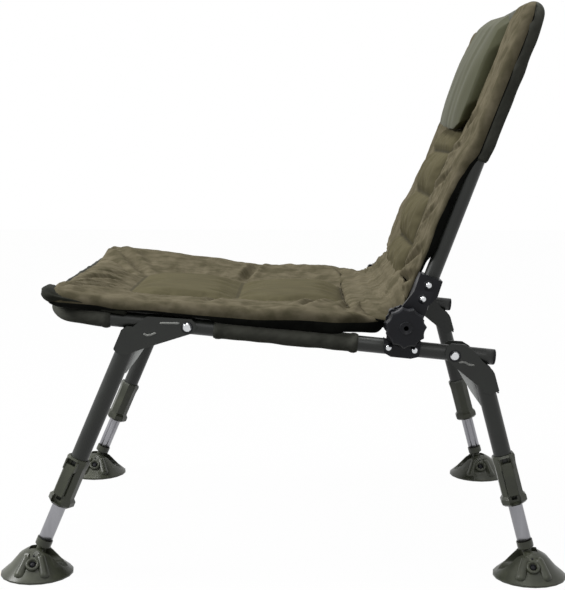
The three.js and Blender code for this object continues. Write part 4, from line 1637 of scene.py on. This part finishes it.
def swell_by_cloth(piece: bpy.types.Object, weights: Array, caps: Array, frames: int = 20) -> None:
    """Runs Blender's cloth with inside pressure and no gravity, then keeps the result within a cap.

    Args:
        piece: A closed mesh at the origin.
        weights: How firmly each vertex is held, from 0 to 1.
        caps: How far each vertex may move.
        frames: Frames that are stepped.
    """
    before = coordinates(piece.data)
    group = piece.vertex_groups.new(name="sewn")
    for level in np.unique(np.round(weights, 1)):
        found = np.flatnonzero(np.round(weights, 1) == level)
        group.add(found.tolist(), float(level), "REPLACE")
    cloth = piece.modifiers.new("Padding", "CLOTH")
    settings = cloth.settings
    settings.quality = 5
    settings.mass = 0.3
    settings.tension_stiffness = 14
    settings.compression_stiffness = 10
    settings.shear_stiffness = 6
    settings.bending_stiffness = 1.2
    settings.use_pressure = True
    settings.uniform_pressure_force = 4.0
    settings.shrink_min = -0.03
    settings.vertex_group_mass = group.name
    settings.effector_weights.gravity = 0
    cloth.collision_settings.use_collision = False
    cloth.point_cache.frame_start, cloth.point_cache.frame_end = 1, frames
    scene = bpy.context.scene
    for step in range(1, frames + 1):
        scene.frame_set(step)
    graph = bpy.context.evaluated_depsgraph_get()
    after = coordinates(piece.evaluated_get(graph).to_mesh())
    piece.evaluated_get(graph).to_mesh_clear()
    piece.modifiers.remove(cloth)
    piece.vertex_groups.remove(group)
    scene.frame_set(1)
    moved = after - before
    length = np.linalg.norm(moved, axis=1)
    factor = np.minimum(1, caps / np.maximum(length, 1e-9))
    set_coordinates(piece.data, before + moved * factor[:, None])


def subdivide(piece: bpy.types.Object) -> None:
    """Applies one smooth subdivision to the mesh itself."""
    modifier = piece.modifiers.new("Smooth", "SUBSURF")
    modifier.levels = modifier.render_levels = 1
    graph = bpy.context.evaluated_depsgraph_get()
    finer = bpy.data.meshes.new_from_object(piece.evaluated_get(graph))
    piece.modifiers.remove(modifier)
    old = piece.data
    piece.data = finer
    finer.name = old.name
    bpy.data.meshes.remove(old)


SEAT_CUSHION = Quilt(
    name="seat_cushion",
    slant=SEAT,
    body="seat",
    node="seat_pad",
    front=-200 * MM,
    rear=274 * MM,
    panels=Panels(130 * MM, (-105.6 * MM, 56.6 * MM, 219.8 * MM), 42 * MM, 8 * MM),
    channel=(
        (-0.200, 0.028), (-0.176, 0.030), (-0.1056, 0.016), (0.0566, 0.018), (0.2198, 0.031),
        (0.246, 0.036), (0.274, 0.028),
    ),
    border=(
        (-0.200, 0.036), (-0.175, 0.035), (-0.150, 0.031), (-0.099, 0.0316), (-0.064, 0.031),
        (-0.033, 0.0334), (0.074, 0.037), (0.178, 0.045), (0.235, 0.045), (0.274, 0.034),
    ),
    far_border=(
        (-0.200, 0.036), (-0.188, 0.044), (-0.092, 0.043), (0.0, 0.040), (0.06, 0.037), (0.133, 0.042),
        (0.2, 0.048), (0.244, 0.048), (0.274, 0.034),
    ),
    outline=(
        (-0.200, 0.266), (-0.192, 0.275), (-0.180, 0.280), (-0.140, 0.281), (0.205, 0.281),
        (0.252, 0.262), (0.274, 0.250),
    ),
    border_inner=238 * MM,
    sag=24 * MM,
    drape=(
        (-0.200, 0.006), (-0.110, 0.006), (-0.078, 0.0), (0.024, 0.0), (0.044, 0.006), (0.200, 0.006),
        (0.232, -0.006), (0.272, -0.014),
    ),
    creases=(
        Crease((0.240, -0.190), (0.232, -0.080), 11 * MM, 5 * MM),
        Crease((0.230, -0.186), (0.120, -0.104), 8 * MM, 6 * MM),
        Crease((0.180, -0.192), (0.070, -0.116), 7 * MM, 5 * MM),
        Crease((0.105, -0.190), (0.010, -0.118), 6 * MM, 5 * MM),
        Crease((0.020, -0.190), (-0.060, -0.120), 5 * MM, 5 * MM),
        Crease((-0.255, -0.190), (-0.115, -0.100), 9 * MM, 9 * MM),
        Crease((-0.180, -0.192), (-0.090, -0.125), 5 * MM, 7 * MM),
        Crease((-0.262, 0.080), (-0.135, 0.052), 9 * MM, 7 * MM),
        Crease((-0.250, 0.110), (-0.190, 0.200), 5 * MM, 9 * MM),
        Crease((0.264, 0.150), (0.140, 0.222), 9 * MM, 6 * MM),
        Crease((0.262, 0.215), (0.080, 0.240), 9 * MM, 6 * MM),
        Crease((0.250, 0.245), (0.020, 0.262), 9 * MM, 6 * MM),
        Crease((0.262, 0.020), (0.140, 0.055), 5 * MM, 6 * MM),
        Crease((-0.250, 0.215), (-0.080, 0.256), 8 * MM, 7 * MM),
    ),
    rim=(
        (-0.200, 0.016), (-0.131, 0.018), (-0.096, 0.015), (-0.054, 0.018), (0.0, 0.018), (0.074, 0.0195),
        (0.178, 0.027), (0.235, 0.029), (0.274, 0.033),
    ),
)
BACK_CUSHION = Quilt(
    name="back_cushion",
    slant=BACK,
    body="back",
    node="back_pad",
    front=-50 * MM,
    rear=394 * MM,
    panels=Panels(115 * MM, (-48 * MM, 22 * MM, 99 * MM, 169 * MM, 214 * MM), 22 * MM, 10 * MM),
    channel=(
        (-0.05, 0.021), (0.022, 0.024), (0.099, 0.024), (0.169, 0.021), (0.2, 0.0136), (0.24, 0.009),
        (0.34, 0.008), (0.372, 0.004), (0.394, -0.002),
    ),
    border=((-0.05, 0.024), (0.06, 0.027), (0.15, 0.025), (0.2, 0.0175), (0.35, 0.0165), (0.394, 0.0165)),
    far_border=(
        (-0.05, 0.024), (0.05, 0.026), (0.105, 0.018), (0.155, 0.0145), (0.35, 0.015), (0.394, 0.015),
    ),
    outline=(
        (-0.05, 0.242), (-0.02, 0.252), (0.01, 0.270), (0.03, 0.280), (0.16, 0.280), (0.19, 0.2812),
        (0.350, 0.2812), (0.370, 0.278), (0.385, 0.270), (0.394, 0.262),
    ),
    border_inner=205 * MM,
    sag=16 * MM,
    drape=(
        (-0.05, -0.003), (0.0, -0.002), (0.035, 0.007), (0.13, 0.007), (0.178, 0.0165), (0.33, 0.0165),
        (0.372, 0.0165), (0.394, 0.012),
    ),
    creases=(
        Crease((0.262, -0.010), (0.110, -0.042), 8 * MM, 6 * MM),
        Crease((0.266, 0.030), (0.120, -0.020), 7 * MM, 6 * MM),
        Crease((-0.262, -0.015), (-0.110, -0.044), 8 * MM, 7 * MM),
        Crease((0.200, 0.186), (0.118, 0.170), 5 * MM, 5 * MM),
        Crease((0.255, 0.150), (0.120, 0.100), 5 * MM, 6 * MM),
        Crease((0.262, 0.100), (0.120, 0.024), 4 * MM, 6 * MM),
        Crease((0.245, 0.235), (0.160, 0.190), 5 * MM, 7 * MM),
    ),
    rim=(
        (-0.05, 0.018), (0.0, 0.018), (0.04, 0.0195), (0.07, 0.021), (0.1, 0.0185), (0.13, 0.0155),
        (0.155, 0.010), (0.178, 0.002), (0.33, 0.001), (0.37, 0.001), (0.394, 0.002),
    ),
    seed=21,
)


@dataclass(frozen=True)
class HeadrestPillow:
    """A stuffed satin pillow on the top of the back: flat behind where it lies on the cushion, and sagging so
    that its front hangs lower than its back.

    Attributes:
        start: Along place of the lower edge of its back face.
        end: Along place of the upper edge of its back face.
        half: Half its width.
        back: Height of its back face ahead of the tubes' axis.
        edge: Height of its front edge.
        crown: Height of its middle.
        seam_share: Place of its widest line between its back face and its front edge.
        rounding: Radius of its front edges.
        corner: Radius of its outline's corners.
        lean: How far its front hangs lower, as a share of its height over its back face.
        top_fall: How much thinner it is at its upper edge.
        turn: How far its left end hangs lower than its right, as a share of its width.
        fullness: Power of the cosines that its crown follows; the lower, the fuller the pillow.
        fold: Height of its soft folds.
        fold_length: Length of the folds.
        step: Spacing of the points before the mesh is subdivided.
    """

    start: float = 227 * MM
    end: float = 398 * MM
    half: float = 150 * MM
    back: float = 7 * MM
    edge: float = 26 * MM
    crown: float = 38 * MM
    seam_share: float = 0.3
    rounding: float = 8 * MM
    corner: float = 44 * MM
    lean: float = 1.15
    top_fall: float = 4 * MM
    turn: float = 0.05
    fullness: float = 0.45
    fold: float = 0.45 * MM
    fold_length: float = 60 * MM
    step: float = 5 * MM

    def build(self) -> bpy.types.Object:
        """Makes the pillow: a rounded-corner outline whose front face crowns and whose sides are round.

        Returns:
            The piece.
        """
        along = rim_steps(self.start, self.end, self.rounding, self.step)
        across = rim_steps(-self.half, self.half, self.rounding, self.step)
        rows, x = np.meshgrid(along, across, indexing="ij")
        middle, reach = (self.start + self.end) / 2, (self.end - self.start) / 2
        u, v = x / self.half, (rows - middle) / reach
        # The outline is drawn in towards rounded corners
        over_x = np.clip(np.abs(u) * self.half - (self.half - self.corner), 0, None) / self.corner
        over_y = np.clip(np.abs(v) * reach - (reach - self.corner), 0, None) / self.corner
        inward = self.corner * (1 - math.sqrt(0.5)) * over_x * over_y
        x = x - np.sign(x) * inward
        rows = rows - np.sign(v) * inward
        rim = round_share(self.half * (1 - np.abs(u)), self.rounding)
        rim = rim * round_share(reach * (1 - np.abs(v)), self.rounding)
        swell = (np.cos(u * math.pi / 2).clip(0) * np.cos(v * math.pi / 2).clip(0)) ** self.fullness
        front = self.edge + (self.crown - self.edge) * swell - self.top_fall * smoothstep(0.25, 1, v)
        line = self.back + (self.edge - self.back) * self.seam_share
        folds = ripples(x, rows, self.fold_length, 0.15, 0.4, 31) * self.fold * rim
        high = line + (front - line) * rim + folds
        low = line + (self.back - line) * rim
        rows = rows - self.turn * x
        upper = BACK.place(x, rows - self.lean * (high - self.back), high)
        lower = BACK.place(x, rows - self.lean * (low - self.back), low)
        points, *faces = pad_shell(upper, lower)
        piece = piece_from("satin_headrest", points, np.concatenate(faces), [SATIN.material()])
        subdivide(piece)
        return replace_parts(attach(piece, "back"), "headrest_pillow")


@dataclass(frozen=True)
class JunctionGather:
    """Gathered fleece between the seat and the back: it lies over the seat's rear edge, turns up round the
    hinge's axis and runs up the back's front, drawn in to the hinge at each end.

    Attributes:
        section: Its outline about the hinge's axis, as pairs of angle in degrees and radius.
        lined: First and last angle of its black underside, in degrees.
        half: Half its width at the hinge.
        wing: How much wider it is where it reaches furthest.
        wing_reach: Radii at which it starts to widen and is widest.
        core: Radius of its hidden side, round which it blends.
        fold_depth: Depth of its folds.
        cross_depth: Depth of the shallow folds that cross them.
        thinnest: Least radius, at its ends.
    """

    section: tuple[tuple[float, float], ...] = (
        (-90, 0.0243), (30, 0.0243), (62, 0.027), (80, 0.040), (91, 0.058), (103, 0.049), (118, 0.040),
        (135, 0.037), (150, 0.042), (162, 0.055), (174, 0.078), (179, 0.078), (187, 0.056), (198, 0.040),
        (215, 0.028), (238, 0.0243), (270, 0.0243),
    )
    lined: tuple[float, float] = (177.0, 270.0)
    half: float = 236 * MM
    wing: float = 30 * MM
    wing_reach: tuple[float, float] = (30 * MM, 78 * MM)
    core: float = 24.3 * MM
    fold_depth: float = 4.5 * MM
    cross_depth: float = 1.6 * MM
    thinnest: float = 0.4 * MM

    def build(self) -> bpy.types.Object:
        """Makes the gather: its section carried across, creased along and across, and closed to a point on
        the hinge's axis at each end.

        Returns:
            The piece.
        """
        share = rim_steps(-1.0, 1.0, 0.07, 0.016, 9)[:, None]
        angle = np.linspace(-90, 270, 144, endpoint=False)[None, :]
        reach = eased(self.section, angle)
        half = self.half + self.wing * smoothstep(*self.wing_reach, reach)
        across = share * half
        outer = np.abs(share)
        turn = np.radians(angle)
        drawn = ripples(turn * 60 * MM, across * 0.35, 16 * MM, 0.0, 0.22, 41)
        cross = ripples(turn * 50 * MM, across, 60 * MM, 0.9, 0.6, 42)
        shown = smoothstep(50, 75, angle) * (1 - smoothstep(172, 186, angle))
        depth = self.fold_depth * (0.35 + 0.65 * smoothstep(0.35, 0.85, outer)) * shown
        radius = reach - depth * (1 - creased(drawn, 1.1)) + self.cross_depth * cross * shown
        taper = 1 - 0.42 * smoothstep(0.78, 1.0, outer) * smoothstep(30 * MM, 60 * MM, reach)
        radius = radius * taper * round_share(1 - outer, 0.07)
        radius = np.maximum(radius, self.thinnest)
        x = np.broadcast_to(across, radius.shape)
        points = HINGE.place(x, radius * np.cos(turn), radius * np.sin(turn))
        index = np.arange(x.size).reshape(x.shape)
        ends = np.array([[-self.half, HINGE.y, HINGE.z], [self.half, HINGE.y, HINGE.z]])
        faces = tube_faces(index)
        middle = np.broadcast_to(angle, x.shape)[:-1].ravel()
        under = (middle > self.lined[0]) & (middle < self.lined[1])
        slots = np.concatenate([under, np.zeros(len(faces) - len(under), bool)])
        piece = piece_from(
            "gathered_junction",
            np.concatenate([points.reshape(-1, 3), ends]),
            faces,
            [FLEECE.material(), LINING.material()],
            slots,
        )
        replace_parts(piece, "hinge_roll")
        forward = HINGE.place(0.0, -self.core, 0.0)
        upward = HINGE.place(0.0, 0.0, self.core)
        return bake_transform(piece)


@dataclass(frozen=True)
class RolledEdge:
    """The cover's front edge: cloth rolled on itself and painted near black as shade, raised at its left
    corner, that turns the corners and runs out under the fleece on both sides.

    Attributes:
        half: Half its width.
        along: Along place of its front.
        bend: Radius of its corners.
        side_end: Along place where it runs out.
        middle: Height of its axis in the middle.
        rise: How much higher its left corner is.
        rise_run: Places across where it starts to rise and is highest.
        fall: How much lower than the corners its ends are.
        radius: Its radius at the front.
        side_radius: Its radius along the sides.
        fold: Height of its folds.
        fold_length: Length of its folds.
        end_rounding: Radius of the rounding at each end.
        segments: Points in a ring.
    """

    half: float = 275 * MM
    along: float = -199 * MM
    bend: float = 18 * MM
    side_end: float = -84 * MM
    middle: float = 14 * MM
    rise: float = 12 * MM
    rise_run: tuple[float, float] = (185 * MM, 250 * MM)
    fall: float = 14 * MM
    radius: float = 10 * MM
    side_radius: float = 5 * MM
    fold: float = 0.4 * MM
    fold_length: float = 11 * MM
    end_rounding: float = 6 * MM
    segments: int = 28

    def build(self) -> bpy.types.Object:
        """Makes the roll: a round section carried round the front, thinning and sinking along the sides.

        Returns:
            The piece.
        """
        flat = u_path(Slant(0.0, 0.0, 0.0), self.half, self.side_end, self.along, self.bend)
        flat, fine = resampled(flat, FINE_STEP)
        x, along = flat[:, 0], flat[:, 1]
        run = np.clip((along - self.along) / (self.side_end - self.along), 0, 1) ** 0.8
        beside = smoothstep(self.along + 4 * MM, self.along + self.bend, along)
        height = self.middle + self.rise * smoothstep(*self.rise_run, x) - self.fall * run
        path = SEAT.place(x, along, height)
        turn = np.linspace(0, 2 * math.pi, self.segments, endpoint=False)[None, :]
        folds = ripples(fine[:, None] * 0.4, turn * self.radius, self.fold_length, 1.2, 0.3, 51)
        radius = (self.radius + (self.side_radius - self.radius) * beside)[:, None] + self.fold * folds
        ends = round_share(np.minimum(fine, fine[-1] - fine), self.end_rounding)
        radius = radius * np.maximum(ends, 0.05)[:, None]
        points, faces = swept(path, np.array(SEAT.normal()), radius, self.segments)
        # Its near-black colour is painted shade
        piece = piece_from("rolled_front_edge", points, faces, [SHADED_BINDING.material()])
        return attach(piece, "seat")


# Fittings


@dataclass(frozen=True)
class Fittings:
    """The moulded, pressed and plated pieces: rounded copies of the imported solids.

    Attributes:
        kinds: The end of a solid's name, its finish and the width of its rounded edges.
    """

    kinds: tuple[tuple[str, Finish, float], ...] = (
        ("bracket", POWDER_COAT, 0.6 * MM),
        ("gusset", ZINC, 0.4 * MM),
        ("pivot_bolt", CHROME, 0.4 * MM),
        ("lock_body", OLIVE_NYLON, 0.9 * MM),
        ("lock_lever", OLIVE_NYLON, 0.8 * MM),
        ("ankle_socket", OLIVE_NYLON, 0.8 * MM),
        ("mud_foot", OLIVE_NYLON, 0.9 * MM),
        ("rail_end_cap", BLACK_NYLON, 0.8 * MM),
        ("lower_saddle", BLACK_NYLON, 0.9 * MM),
        ("toothed_disc", BLACK_NYLON, 0.3 * MM),
        ("hinge_bolt", ZINC, 0.3 * MM),
        ("upper_clamp", BLACK_NYLON, 0.9 * MM),
        ("knob", BLACK_NYLON, 0.9 * MM),
        ("cross_tube", POWDER_COAT, 0.4 * MM),
    )

    def build(self) -> list[bpy.types.Object]:
        """Makes a rounded piece for every rigid solid that is left.

        Returns:
            The new pieces.
        """
        made = []
        for node in sorted(frame["nodes"]):
            for kind, finish, width in self.kinds:
                if node.endswith(kind):
                    made.append(softened(node, f"{node}_shell", finish.material(), width))
        return made


def fitted(
    name: str, body: str, slot: Slot, finish: Finish, parts: Iterable[Shape]
) -> bpy.types.Object:
    """Joins small closed forms into one piece on a body.

    Args:
        name: The piece's name.
        body: The body that it rides on.
        slot: Not used.
        finish: Its finish.
        parts: The forms.

    Returns:
        The piece.
    """
    piece = piece_from(name, *merged(parts), [finish.material()])
    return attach(piece, body)


@dataclass(frozen=True)
class Fasteners:
    """Domed screws on the hinges, bolt heads on the leg pivots and ribs pressed into the brackets, coloured
    light grey as a painted highlight.

    Attributes:
        clamp_screws: Places of the clamp's screws about the hinge, along and square to the rails.
        saddle_screws: Places of the saddle's screws.
        clamp_face: Place across of the clamp's outer face.
        saddle_face: Place across of the saddle's outer face.
        bracket_face: Place across of the brackets' outer face.
        screw: Radius of a screw's head.
        head: Radius of a bolt's head.
        dome: Height of a head.
        washer: How much wider the dark disc under a head is.
        knob_face: Place across of the knobs' outer face.
        knob_rim: The raised ring in the middle of a knob, as pairs of radius and height.
        ribs: Each rib's line about a leg's pivot, by end of the chair.
        rib_radius: Half the width of a rib.
    """

    clamp_screws: tuple[tuple[float, float], ...] = ((0.0262, 0.0587), (0.0206, 0.0392))
    saddle_screws: tuple[tuple[float, float], ...] = ((-0.018, -0.0338), (0.018, -0.034))
    clamp_face: float = 287.7 * MM
    saddle_face: float = 280 * MM
    bracket_face: float = 280.8 * MM
    screw: float = 4.3 * MM
    head: float = 5.6 * MM
    dome: float = 2.6 * MM
    washer: float = 2.8 * MM
    knob_face: float = 312 * MM
    knob_rim: tuple[tuple[float, float], ...] = (
        (0.0092, -0.0026), (0.0092, 0.0004), (0.0086, 0.001), (0.008, 0.001), (0.0074, 0.0004),
        (0.0072, 0.0002), (0.0035, 0.0002), (0.0033, 0.0),
    )
    ribs: tuple[tuple[str, tuple[tuple[float, float], ...]], ...] = (
        ("front", ((-0.038, 0.0024), (-0.024, 0.0036), (-0.0105, 0.0048))),
        ("front", ((-0.0592, -0.0143), (-0.054, -0.0166), (-0.0492, -0.0155), (-0.0414, -0.0117))),
        ("rear", ((0.006, -0.0084), (0.014, -0.0072), (0.021, -0.0104), (0.0287, -0.0099))),
    )
    rib_radius: float = 1.6 * MM

    def head_at(self, point: Array, sign: float, radius: float) -> tuple[Shape, Shape]:
        """A bright dome on a dark disc, both turned about X.

        Args:
            point: Middle of the disc's inner face.
            sign: Direction across in which it faces.
            radius: Radius of the dome.

        Returns:
            The dome and the disc.
        """
        turn = np.linspace(0, math.pi / 2, 7)
        base = self.dome * 0.3
        dome = [(0.0, 0.0), *((radius * math.cos(t), base + self.dome * math.sin(t)) for t in turn[:-1])]
        dome.append((0.0, base + self.dome))
        wide = radius + self.washer
        disc = [(0.0, -base), (wide, -base), (wide, 0.0), (wide - base / 2, base), (0.0, base)]
        return turned(dome, point, (sign, 0, 0), 28), turned(disc, point, (sign, 0, 0), 28)

    def rib(self, slant: Slant, x: float, line: Sequence[tuple[float, float]]) -> Shape:
        """A half-sunk round rib through a few points of a side-view frame.

        Args:
            slant: The frame that its points lie in.
            x: Place across of the face that carries it.
            line: Its points, along and height.

        Returns:
            Points and faces.
        """
        rows = np.array(line)
        fine = np.linspace(0, len(rows) - 1, 24)
        along, height = (np.interp(fine, np.arange(len(rows)), rows[:, k]) for k in (0, 1))
        ends = round_share(np.minimum(fine, fine[-1] - fine), 0.3)
        radius = self.rib_radius * np.maximum(ends, 0.1)[:, None]
        return swept(slant.place(x, along, height), (1, 0, 0), radius, 14)

    def build(self) -> list[bpy.types.Object]:
        """Makes the screws of both hinges, and the bolt heads and ribs of all four brackets.

        Returns:
            The new pieces.
        """
        rows = []
        for side, sign in SIDES.items():
            for kind, body, face, screws in (
                ("clamp", "back", self.clamp_face, self.clamp_screws),
                ("saddle", "seat", self.saddle_face, self.saddle_screws),
            ):
                pairs = [self.head_at(HINGE.place(sign * face, *at), sign, self.screw) for at in screws]
                domes, discs = zip(*pairs)
                label = f"{side}_{kind}_screw"
                rows += [
                    (f"{label}s", body, Slot.BRIGHT_BOLT, CHROME, domes),
                    (f"{label}_seats", body, Slot.BLACK_PLASTIC, BLACK_NYLON, discs),
                ]
            for end, pivot in PIVOTS.items():
                bracket = f"{end}_{side}_leg"
                x = sign * self.bracket_face
                dome, disc = self.head_at(pivot.place(x, 0.0, 0.0), sign, self.head)
                # The ribs carry a painted highlight: light grey where the pressed edges catch the light
                lines = [line for at, line in self.ribs if at == end]
                ribs = [self.rib(pivot, x, line) for line in lines]
                label = f"{end}_{side}"
                rows += [
                    (f"{label}_bolt_head", bracket, Slot.BRIGHT_BOLT, CHROME, [dome]),
                    (f"{label}_bolt_washer", bracket, Slot.BLACK_PLASTIC, BLACK_NYLON, [disc]),
                    (f"{label}_bracket_highlight_ribs", bracket, Slot.PAINTED_TUBE, HIGHLIGHT_RIB_COAT, ribs),
                ]
            rim = [(0.0, -self.dome), *self.knob_rim, (0.0, 0.0)]
            ring = turned(rim, HINGE.place(sign * self.knob_face, 0.0, 0.0), (sign, 0, 0), 48)
            rows.append((f"{side}_knob_centre", f"{side}_knob", Slot.BLACK_PLASTIC, BLACK_NYLON, [ring]))
        return [fitted(*row) for row in rows]


@dataclass(frozen=True)
class FootTrim:
    """The raised boss round each foot's pin and the two flaring ribs beside it, on both sides of a foot.

    Attributes:
        top: Radius and height over the pin where the cone's straight slope starts.
        base: Radius and height where it ends.
        boss_height: Height of a boss's middle over the pin.
        boss: The boss's section, as pairs of radius and height.
        pin: Radius of the pin's end.
        screw: Radius of the small screw above it.
        screw_rise: How far up the slope the screw sits.
        rib_turn: Angle of a rib from straight across.
        rib_run: Where a rib starts and ends, as shares of the slope.
        rib_radii: Its radius at both ends.
        rib_sunk: How deep its middle line lies, as a share of its radius.
    """

    top: tuple[float, float] = (0.024, 0.009)
    base: tuple[float, float] = (0.0515, -0.0184)
    boss_height: float = 2 * MM
    boss: tuple[tuple[float, float], ...] = (
        (0.0, -0.003), (0.0105, -0.003), (0.0102, 0.0), (0.0092, 0.0016), (0.0076, 0.0022),
        (0.0062, 0.0016), (0.0054, 0.0), (0.005, -0.001), (0.0, -0.001),
    )
    pin: float = 4.6 * MM
    screw: float = 1.5 * MM
    screw_rise: float = 12.5 * MM
    rib_turn: float = math.radians(26)
    rib_run: tuple[float, float] = (-0.14, 0.86)
    rib_radii: tuple[float, float] = (0.0062, 0.0078)
    rib_sunk: float = 0.5

    def on_slope(self, share: float, turn: float) -> tuple[Array, Array]:
        """A place on the cone and the direction out of it.

        Args:
            share: Place down the slope, from 0 at its top to 1 at its base.
            turn: Angle about the cone's axis from straight across.

        Returns:
            The place about the pin's middle, and the unit direction.
        """
        radius, height = np.array(self.top) + share * np.subtract(self.base, self.top)
        run, drop = np.subtract(self.base, self.top)
        outward = np.array([-drop, run]) / math.hypot(run, drop)
        across = np.array([math.cos(turn), math.sin(turn), 0.0])
        up = np.array([0.0, 0.0, 1.0])
        return radius * across + height * up, outward[0] * across + outward[1] * up

    def build(self) -> list[bpy.types.Object]:
        """Makes the trim of all four feet.

        Returns:
            The new pieces.
        """
        made = []
        slope = float(np.linalg.norm(np.subtract(self.base, self.top)))
        boss_share = (self.top[1] - self.boss_height) / (self.top[1] - self.base[1])
        screw_share = boss_share - self.screw_rise / slope
        sunk_disc = [(0.0, -self.screw), (self.pin, -self.screw), (self.pin, -self.screw / 4), (0.0, 0.0)]
        small_disc = [(0.0, -self.screw), (self.screw, -self.screw), (self.screw, 0.0), (0.0, self.screw / 4)]
        for side, sign in SIDES.items():
            for end, line in LEG_LINES.items():
                middle = np.array([sign * SIDE_X, line.foot_y, line.foot_z])
                raised, pins = [], []
                for face in (0.0, math.pi):
                    place, out = self.on_slope(boss_share, face)
                    raised.append(turned(self.boss, middle + place, out, 36))
                    pins.append(turned(sunk_disc, middle + place, out, 24))
                    place, out = self.on_slope(screw_share, face)
                    pins.append(turned(small_disc, middle + place, out, 16))
                    for turn in (face - self.rib_turn, face + self.rib_turn):
                        raised.append(self.rib(middle, turn))
                foot = f"{end}_{side}_foot"
                made += [
                    fitted(f"{foot}_bosses", foot, Slot.OLIVE_PLASTIC, OLIVE_NYLON, raised),
                    fitted(f"{foot}_pin_ends", foot, Slot.BLACK_PLASTIC, BLACK_NYLON, pins),
                ]
        return made

    def rib(self, middle: Array, turn: float) -> Shape:
        """A rib that flares down the slope, half sunk in it.

        Args:
            middle: Middle of the foot's pin.
            turn: Angle of the rib about the foot's axis.

        Returns:
            Points and faces.
        """
        start, out = self.on_slope(self.rib_run[0], turn)
        end, _ = self.on_slope(self.rib_run[1], turn)
        share = np.linspace(0, 1, 20)[:, None]
        radius = self.rib_radii[0] + (self.rib_radii[1] - self.rib_radii[0]) * share
        ends = np.maximum(round_share(np.minimum(share, 1 - share), 0.16), 0.08)
        path = middle + start + (end - start) * share - out * radius * self.rib_sunk
        return swept(path, out, radius * ends, 20)


def main() -> None:
    """Builds the studio and every piece, and reports them."""
    Studio().build()
    tubes = TubeFrames()
    groups = (
        tubes.build(),
        Sleeves().build(tubes),
        Fittings().build(),
        Fasteners().build(),
        FootTrim().build(),
    )
    makers = (SEAT_CUSHION, BACK_CUSHION, HeadrestPillow(), JunctionGather(), RolledEdge())
    for piece in itertools.chain(*groups, (maker.build() for maker in makers)):
        LOG.info("made %s with %d faces", piece.name, len(piece.data.polygons))


if __name__ == "__main__":
    main()
